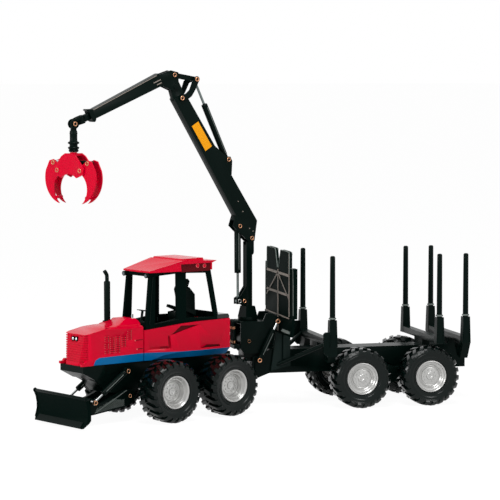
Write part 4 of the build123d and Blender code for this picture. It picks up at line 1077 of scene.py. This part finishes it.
@dataclass
class Sleeves:
    """Tubes over the cylinders' barrels, with welded ends and a painted highlight line along each side."""

    bench: Bench
    gland: float = 1.3
    line: float = 0.22
    tubes: tuple[Sleeve, ...] = (
        Sleeve("tilt", "tilt_barrels", Unit.REAR, (-11.0, 30.0), (-23.0, 54.5), (11.4, -11.4), 3.0, 21.2,
               1.72),
        Sleeve("jib", "jib_barrel", Unit.CRANE, (16.4, 157.0), (40.5, 207.3), (0.0,), 3.2, 38.4, 1.95),
        Sleeve("blade", "blade_barrels", Unit.FRONT, (98.0, 31.8), (122.5, 14.7), (13.0, -13.0), 3.0, 21.8,
               1.8),
        Sleeve("lift", "lift_barrel", Unit.CRANE, (7.8, 114.8), (7.6, 67.1), (0.0,), 3.2, 29.9, 2.1),
    )

    def build(self) -> None:
        """Turn each tube, and lay a painted highlight line along each side of it."""
        for tube in self.tubes:
            drawing, lines = Draft(), Draft()
            low, high = Vector((tube.foot[0], 0, tube.foot[1])), Vector((tube.eye[0], 0, tube.eye[1]))
            along = (high - low).normalized()
            r, length = tube.radius, tube.end - tube.start
            outline = [(r - 0.5, 0), (r - 0.15, 0.1), (r, 0.4), (r, length - self.gland),
                       (r - 0.12, length - self.gland),
                       (r - 0.12, length - self.gland + 0.3), (r + 0.02, length - self.gland + 0.35),
                       (r, length - 0.3),
                       (r - 0.3, length), (r - 0.75, length), (r - 0.75, length - 0.4),
                       (r - 0.5, length - 0.5),
                       (r - 0.5, 0)]
            for y in tube.y:
                base = low + along * tube.start + Vector((0, y, 0))
                drawing.lathe(outline, base, along, 28)
                for sign in SIDES:
                    side = Vector((0, sign * (r - 0.08), 0)) + along.cross(Vector((0, sign, 0))) * 0.35
                    lines.bar(base + side + along, base + side + along * (length - 2.2), self.line, 0.1, 8)
            self.bench.place(f"{tube.name}_sleeve", drawing.mesh, tube.unit, BLACK, tube.body)
            self.bench.place(f"{tube.name}_glint", lines.mesh, tube.unit, HIGHLIGHT_BLACK, tube.body)


@dataclass
class Crane(Fittings):
    """Plates, ribs, collars and hoses of the crane."""

    unit: ClassVar[Unit] = Unit.CRANE
    body: ClassVar[str] = "main_boom"
    boom_half: float = 2.8
    jib_half: float = 2.5
    tip: Spot = (127.0, 180.8)
    slope: float = 23.5
    head: float = 3.0
    plate: Outline = ((44.0, 178.2), (39.3, 181.1), (29.2, 165.6), (33.9, 162.7))
    studs: Outline = ((9.2, 130.4), (5.6, 123.9), (0.4, 113.0), (-2.2, 111.2))
    # ends of the rib as (reach, rise), and the two dashes as (start, end, width)
    rib: Outline = ((68, 3.45), (113.5, 2.6))
    dashes: tuple[tuple[Spot, Spot, float], ...] = (
        ((71.7, 205.0), (66.6, 207.1), 0.55), ((69.3, 203.8), (65.9, 205.3), 0.5))
    ear: Outline = ((115.2, 188.0), (115.6, 189.5), (118.5, 189.6), (119.2, 188.9), (118.2, 188.3))
    # the extension's solid end behind its fork
    root: Outline = ((119.6, 181.3), (122.0, 180.5), (122.0, 185.9), (119.8, 186.2))
    # the hanger's eye, and the rotator as (radius, z)
    eye_radius: float = 1.6
    rotator: Outline = (
        (0, 177.1), (1.7, 177.1), (2.2, 176.6), (2.45, 174.9), (2.3, 174.6), (2.3, 171.0), (2.5, 170.3),
        (3.2, 170.0), (3.55, 169.5), (3.3, 168.9), (2.5, 168.6), (2.4, 167.3), (3.2, 167.0), (3.5, 166.5),
        (3.2, 165.9), (2.7, 165.6), (3.05, 165.0), (2.9, 164.3), (2.5, 163.95), (0, 163.95))
    # (y, how far ahead it bulges, z of its lower end) of each hose, and its radius
    hoses: tuple[Triple, ...] = (
        (-4.0, 4.9, 38.6), (-1.3, 5.6, 38.2), (1.4, 5.2, 38.8), (4.0, 4.6, 38.0))
    hose_radius: float = 0.85
    ferrule: Outline = ((0.8, -0.7), (1.1, -0.7), (1.1, 0.7), (0.8, 0.7), (0.8, -0.7))
    clamp: Outline = ((0.5, 37.2), (4.7, 37.2), (4.7, 39.4), (0.5, 39.4))

    def on_jib(self, reach: float, rise: float) -> Spot:
        """A point on the jib's line at a reach, raised square to it."""
        turn = math.radians(self.slope)
        return (reach + rise * math.sin(turn),
                self.tip[1] + (self.tip[0] - reach) * math.tan(turn) + rise * math.cos(turn))

    def build(self) -> None:
        """Make each group of fittings."""
        self.fix_plates()
        self.rib_jib()
        self.fork_extension()
        self.turn_rotator()
        self.lay_hoses()

    def fix_plates(self) -> None:
        """A blank yellow plate on both sides of the boom, and small studs along it."""
        plates, studs = Draft(), Draft()
        plates.both(self.plate, Sheet.SIDE, self.boom_half - 0.05, self.boom_half + 0.22)
        for x, z in self.studs:
            for sign in SIDES:
                studs.bar((x, sign * (self.boom_half - 0.2), z), (x, sign * (self.boom_half + 0.25), z), 0.4,
                          0.15, 10)
        self.put("boom_plates", plates, YELLOW)
        self.put("boom_studs", studs, GREY_LINE_AND_HIGHLIGHT)

    def rib_jib(self) -> None:
        """A rib along the jib's upper edge and two dashes by the elbow, grey as painted highlight, and ears
        on the collar.
        """
        ribs, ears = Draft(), Draft()
        for sign in SIDES:
            ribs.pipe([(x, sign * self.jib_half, z) for x, z in (self.on_jib(*end) for end in self.rib)],
                      0.22)
        for start, end, width in self.dashes:
            ribs.both(strip(start, end, width), Sheet.SIDE, self.jib_half - 0.1, self.jib_half + 0.25)
        ears.prism(self.ear, Sheet.SIDE, -2.2, 2.2)
        low = self.on_jib(115.2, -3.2)
        ears.bar((low[0], -2.7, low[1]), (low[0], 2.7, low[1]), 1.25, 0.2, 16)
        self.put("jib_ribs", ribs, GREY_LINE_AND_HIGHLIGHT, body="jib")
        self.put("jib_collar_ears", ears, BLACK, body="jib")

    def fork_extension(self) -> None:
        """The extension's thick head, forked round the hanger's eye and rounded about its pin."""
        fork = Draft()
        cheek = [(121.8, 180.6), *arc(self.tip, self.head, range(-165, 91, 15)), (124.9, 184.8),
                 (121.8, 185.9)]
        fork.both(cheek, Sheet.SIDE, 1.1, 1.9)
        fork.prism(self.root, Sheet.SIDE, -1.9, 1.9)
        self.put("extension_head", fork, BLACK, body="jib_extension", edge_mm=0.25)

    def turn_rotator(self) -> None:
        """Hanger: a flat eye, a round shank and a rotator with three rings."""
        hanger = Draft()
        x, z = self.tip
        r = self.eye_radius
        eye = [(x - r, z - 4.4), (x + r, z - 4.4), *arc(self.tip, r, range(-20, 201, 20))]
        hanger.prism(eye, Sheet.SIDE, -0.95, 0.95)
        hanger.lathe(self.rotator, (x, 0, 0), (0, 0, 1), 28)
        self.put("rotator_hanger", hanger, BLACK, body="hanger", replaces=("hanger",))

    def lay_hoses(self) -> None:
        """Four moulded hoses over the base's front edge and down to a clamp, with bright ferrules."""
        hoses, ferrules = Draft(), Draft()
        for y, reach, low in self.hoses:
            route = [(0.3, y, 53.6), (2.2, y, 54.2), (reach, y, 54.0), (reach - 0.6, y, 50.5), (3.2, y, 46.5),
                     (3.8, y + 0.3, 42.5), (3.2, y, low)]
            hoses.pipe(route, self.hose_radius)
            for z, x in ((50.2, reach - 0.75), (41.2, 3.65)):
                ferrules.lathe(self.ferrule, (x, y, z), (0.12, 0, 1), 16)
        hoses.prism(self.clamp, Sheet.SIDE, -8.4, 8.4)
        self.put("moulded_hoses", hoses, BLACK_PLASTIC, body="crane_base", unit=Unit.REAR,
                 replaces=("hoses",))
        self.put("hose_ferrules", ferrules, COPPER, body="crane_base", unit=Unit.REAR)


@dataclass
class Rocker(Fittings):
    """Two plates from the boom's end to the link, the left one cranked round the link's pin."""

    unit: ClassVar[Unit] = Unit.CRANE
    body: ClassVar[str] = "jib_rocker"
    inner: float = 2.95
    outer: float = 3.65
    boss: float = 1.9
    pin: float = 0.75
    boom_pin: Spot = (51.4, 195.7)
    eye: Spot = (40.5, 207.3)
    # outlines of the left plate and of the right one, as (reach, z)
    left_plate: Outline = (
        (51.0, 193.9), (47.4, 194.9), (44.5, 196.7), (41.9, 200.5), (38.8, 206.6), (39.6, 208.6),
        (41.9, 208.3),
        (44.1, 205.4), (46.1, 200.7), (48.8, 198.4), (52.0, 197.4))
    right_plate: Outline = (
        (51.0, 193.9), (48.0, 195.4), (45.0, 199.2), (42.1, 204.8), (38.9, 206.6), (39.6, 208.6),
        (42.4, 208.6),
        (45.9, 206.1), (48.2, 199.8), (52.6, 197.4))

    def build(self) -> None:
        """Cut both plates, with a boss at each pin, and put the pin through the boom's end."""
        plates = Draft()
        plates.prism(self.left_plate, Sheet.SIDE, self.inner, self.outer)
        plates.prism(self.right_plate, Sheet.SIDE, -self.outer, -self.inner)
        for x, z in (self.boom_pin, self.eye):
            for sign in SIDES:
                plates.bar((x, sign * self.inner, z), (x, sign * (self.outer + 0.05), z), self.boss, 0.12, 28)
        x, z = self.boom_pin
        plates.bar((x, -self.outer, z), (x, self.outer, z), self.pin, 0.1)
        self.put("rocker_plates", plates, BLACK, replaces=("jib_rocker",), edge_mm=0.12)


@dataclass(frozen=True)
class RivetRow:
    """Hollow rivets at the ends of some pins."""

    name: str
    body: str
    unit: Unit
    face: float
    spots: Outline
    radius: float = 1.45
    lie: Sheet = Sheet.SIDE
    finish: Finish = COPPER


@dataclass
class Rivets:
    """Every copper rivet, as one piece for each body."""

    bench: Bench
    hole: float = 0.78
    height: float = 0.52
    rows: tuple[RivetRow, ...] = (
        RivetRow("boom", "main_boom", Unit.CRANE, 2.8, ((16.4, 157.0), (7.8, 114.8), (-1.3, 106.8))),
        RivetRow("jib", "jib", Unit.CRANE, 2.5, ((56.3, 210.0),)),
        RivetRow("jib_pin", "jib", Unit.CRANE, 2.35, ((55.6, 202.9),), 1.2, finish=SILVER),
        RivetRow("tip", "jib_extension", Unit.CRANE, 1.9, ((127.0, 180.8),), 1.5),
        RivetRow("rocker", "jib_rocker", Unit.CRANE, 3.65, ((51.4, 195.7), (40.5, 207.3))),
        RivetRow("pillar", "crane_pillar", Unit.CRANE, 1.9, ((3.7, 66.9),), 1.3),
        RivetRow("pillar_pin", "crane_pillar", Unit.CRANE, 1.9, ((7.6, 67.1),), 1.4, finish=SILVER),
        RivetRow("base", "crane_base", Unit.REAR, 9.0, ((-5.0, 42.0),), 1.15),
        RivetRow("ram_eye", "crane_base", Unit.REAR, 12.6, ((-23.0, 54.5),), 1.5),
        RivetRow("ram_foot", "rear_unit", Unit.REAR, 12.6, ((-11.0, 30.0),), 1.5),
        RivetRow("blade_pivot", "front_unit", Unit.FRONT, 10.9, ((94.0, 16.0),), 1.3),
        RivetRow("dozer_top", "front_unit", Unit.FRONT, 14.9, ((98.0, 31.8),), 1.5),
        RivetRow("dozer_low", "blade", Unit.FRONT, 14.9, ((122.5, 14.7),), 1.5),
        RivetRow("claw_pins", "grapple", Unit.GRIP, 4.5, ((9.5, 153.0), (-9.5, 153.0)), 1.5, Sheet.FRONT),
        RivetRow("left_ram_pin", "claw_left", Unit.GRIP, 3.1, ((14.4, 157.4),), 1.4, Sheet.FRONT),
        RivetRow("right_ram_pin", "claw_right", Unit.GRIP, 3.1, ((-14.4, 157.4),), 1.4, Sheet.FRONT),
    )

    def build(self) -> None:
        """Set the rivets of each row on both sides."""
        for row in self.rows:
            drawing = Draft()
            for first, second in row.spots:
                for sign in SIDES:
                    centre = row.lie.point(first, second, sign * row.face)
                    axis = row.lie.point(0, 0, sign)
                    drawing.lathe([(self.hole, -0.1), (row.radius, -0.1), (row.radius, 0.28),
                                   (row.radius - 0.22, self.height), (self.hole + 0.2, self.height),
                                   (self.hole, 0.3), (self.hole, -0.1)], centre, axis, 22)
            self.bench.place(f"{row.name}_rivets", drawing.mesh, row.unit, row.finish, row.body)


# ---------------------------------------------------------------- castings kept from the frame
@dataclass
class Castings:
    """CAD nodes whose shape is right and whose edges are rounded here."""

    bench: Bench
    # what isn't black enamel
    finishes: tuple[tuple[Finish, tuple[str, ...]], ...] = (
        (RED, ("hood", "cab_body", "cab_roof", "grapple_frame", "claw_left", "claw_right")),
        (STEEL, ("lift_rod", "jib_rod")), (BRIGHT, ("tilt_rods", "blade_rods", "grapple_rod")),
        (BLACK_PLASTIC, ("seat", "dash_console", "cab_lining", "front_bogies", "rear_bogies")),
        (MATT_BLACK, ("headboard", "cab_frame", "blade")), (BLUE, ("skirt",)), (DECK, ("rear_deck",)))
    fine_edge: float = 0.12
    edge: float = 0.24
    # nodes whose edges are rounder than the rest
    rounder: dict[str, float] = field(default_factory=lambda: {"seat": 0.6, "headboard": 0.3,
                                                               "cab_roof": 0.35,
                                                               "hood": 0.35, "blade": 0.3,
                                                               "grapple_frame": 0.12})
    # corners of the roof's rear end that move, from (x, z) to (x, z), for an undercut behind the eaves
    roof_tip: tuple[tuple[Spot, Spot], ...] = (
        ((30.2, 92.0), (34.9, 94.3)), ((34.0, 90.0), (34.95, 90.0)))
    seat_share: float = 0.85
    # stake sockets: the height above which they taper, and by how much
    taper_from: float = 50.0
    taper: float = 0.84

    def build(self) -> None:
        """Round and paint every node that no dressed piece stands for."""
        table = {node: finish for finish, nodes in self.finishes for node in nodes}
        trims = {"cab_roof": self.undercut_roof, "seat": self.narrow_seat, "bunks": self.taper_sockets}
        for node, piece in self.bench.frame["nodes"].items():
            if not piece.hide_render:
                finish = table.get(node, BLACK)
                edge = self.fine_edge if finish in (STEEL, BRIGHT) else self.rounder.get(node, self.edge)
                self.bench.casting(node, finish, edge, trims.get(node))

    def undercut_roof(self, shape: BMesh) -> None:
        """Pull the underside of the roof's rear end forward, so that it runs out in a thin tip.

        Args:
            shape: The roof's merged copy, in metres.
        """
        place = self.bench.site.matrix(Unit.FRONT)
        bmesh.ops.dissolve_limit(shape, angle_limit=math.radians(0.3), verts=shape.verts, edges=shape.edges)
        back = place.inverted()
        for vert in shape.verts:
            spot = back @ vert.co
            for (x, z), (new_x, new_z) in self.roof_tip:
                if math.hypot(spot.x - x, spot.z - z) < 0.3:
                    vert.co = place @ Vector((new_x, spot.y * (1 - 0.001 * (new_x - x)), new_z))
        bmesh.ops.triangulate(shape, faces=shape.faces)

    def taper_sockets(self, shape: BMesh) -> None:
        """Draw the tops of the stake sockets in towards their stakes.

        Args:
            shape: The bolsters' merged copy, in metres.
        """
        bed = Bed(self.bench)
        place = self.bench.site.matrix(Unit.REAR)
        back = place.inverted()
        for vert in shape.verts:
            spot = back @ vert.co
            if spot.z > self.taper_from:
                x = min(bed.bolsters, key=lambda middle: abs(middle - spot.x))
                y = math.copysign(bed.stake_y, spot.y)
                if max(abs(spot.x - x), abs(spot.y - y)) > bed.socket - 0.3:
                    vert.co = place @ Vector((x + (spot.x - x) * self.taper, y + (spot.y - y) * self.taper,
                                              spot.z))

    def narrow_seat(self, shape: BMesh) -> None:
        """Bring the seat's sides in."""
        place = self.bench.site.matrix(Unit.FRONT)
        bmesh.ops.scale(shape, vec=(1, self.seat_share, 1), space=place.inverted(), verts=shape.verts)


# ---------------------------------------------------------------- studio
@dataclass
class Studio:
    """Pale floor, soft lights and the camera."""

    site: Site
    azimuth_back: float = 14.67
    elevation: float = 4.57
    distance: float = 1447.0
    across: float = 7.6
    raised: float = 98.9
    lens: float = 163.43
    # soft square lamps: name, place and aim in the rear unit's frame, side in millimetres, watts
    lamps: tuple[tuple[str, Sequence[float], Sequence[float], float, float], ...] = (
        ("overhead", (60, 260, 620), (0, 0, 70), 250, 2.3), ("front_left", (620, 330, 240), (0, 0, 80), 150,
                                                             1.6),
        ("camera_side", (-420, 700, 420), (-20, 0, 60), 200, 1.4))
    sky_light: float = 0.32
    floor_size: float = 30.0
    floor_grey: float = 0.9
    floor_glow: float = 1.1
    glow_share: float = 0.86

    def build(self) -> None:
        """Set floor, world, lamps and camera."""
        self.lay_floor()
        self.light_world()
        for lamp in self.lamps:
            self.hang(*lamp)
        self.aim_camera()

    def lay_floor(self) -> None:
        """A wide pale floor that shows as white and keeps a soft shadow."""
        drawing = bmesh.new()
        bmesh.ops.create_grid(drawing, x_segments=1, y_segments=1, size=self.floor_size)
        mesh = bpy.data.meshes.new("floor")
        drawing.to_mesh(mesh)
        drawing.free()
        floor = stand("floor", mesh)
        made = bpy.data.materials.new("pale_floor")
        wiring = Wiring(made)
        shader = wiring.fill(wiring.tree.nodes["Principled BSDF"], {
            "Base Color": (*[self.floor_grey] * 3, 1), "Roughness": 0.9, "Specular IOR Level": 0.0})
        glow = wiring.add("Emission", {"Strength": self.floor_glow})
        _, seen = wiring.seen()
        share = wiring.math("MULTIPLY")
        share.inputs[1].default_value = self.glow_share
        mix = wiring.add("MixShader")
        output = wiring.tree.nodes["Material Output"]
        wiring.link((seen, share.inputs[0]), (share.outputs[0], mix.inputs["Fac"]),
                    (shader.outputs[0], mix.inputs[1]), (glow.outputs[0], mix.inputs[2]),
                    (mix.outputs[0], output.inputs["Surface"]))
        mesh.materials.append(made)

    def light_world(self) -> None:
        """White to the camera, to gloss and through glass, and a dimmer sky as light."""
        world = bpy.data.worlds.new("studio_world")
        bpy.context.scene.world = world
        wiring = Wiring(world)
        sky = wiring.fill(wiring.tree.nodes["Background"], {"Color": (1, 1, 1, 1)})
        rays, seen = wiring.seen()
        also = wiring.math("MAXIMUM")
        strength = wiring.add("MapRange", {"To Min": self.sky_light, "To Max": 1.0})
        wiring.link((seen, also.inputs[0]), (rays.outputs["Is Transmission Ray"], also.inputs[1]),
                    (also.outputs[0], strength.inputs["Value"]),
                    (strength.outputs["Result"], sky.inputs["Strength"]))

    def hang(self, name: str, spot: Sequence[float], aim: Sequence[float], size: float, power: float) -> None:
        """Hang one soft square lamp.

        Args:
            name: The lamp's name.
            spot: Where it hangs, in the rear unit's frame.
            aim: What it points at.
            size: Its side, in millimetres.
            power: Its power in watts.
        """
        lamp = bpy.data.lights.new(name, "AREA")
        lamp.shape = "SQUARE"
        lamp.size = size * MM
        lamp.energy = power
        holder = stand(name, lamp)
        place = self.site.matrix(Unit.REAR)
        start, end = place @ Vector(spot), place @ Vector(aim)
        holder.location = start
        holder.rotation_euler = (end - start).to_track_quat("-Z", "Y").to_euler()

    def aim_camera(self) -> None:
        """Stand the camera off the left side, a little ahead and a little above."""
        turn, rise = math.radians(self.azimuth_back), math.radians(self.elevation)
        back = Vector((math.sin(turn) * math.cos(rise), math.cos(turn) * math.cos(rise), math.sin(rise)))
        right = Vector((-math.cos(turn), math.sin(turn), 0))
        up = back.cross(right)
        eye = right * self.across + up * self.raised + back * self.distance
        camera = bpy.data.cameras.new("camera")
        camera.lens = self.lens
        camera.sensor_width = 36.0
        camera.clip_end = 100.0
        holder = stand("camera", camera)
        axes = Matrix((right, up, back)).transposed().to_4x4()
        holder.matrix_world = Matrix.Translation(self.site.matrix(Unit.REAR) @ eye) @ axes
        bpy.context.scene.camera = holder


def main() -> None:
    """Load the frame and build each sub-assembly in turn."""
    logging.basicConfig(level=logging.INFO, format="%(message)s")
    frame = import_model()
    bench = Bench(frame)
    bpy.context.scene.view_settings.view_transform = "Standard"
    for assembly in (Wheels, Hood, Cab, Blade, Headboard, Bed, Gussets, Sleeves, Crane, Rocker, Rivets,
                     Castings):
        assembly(bench).build()
    Studio(bench.site).build()


if __name__ == "__main__":
    main()
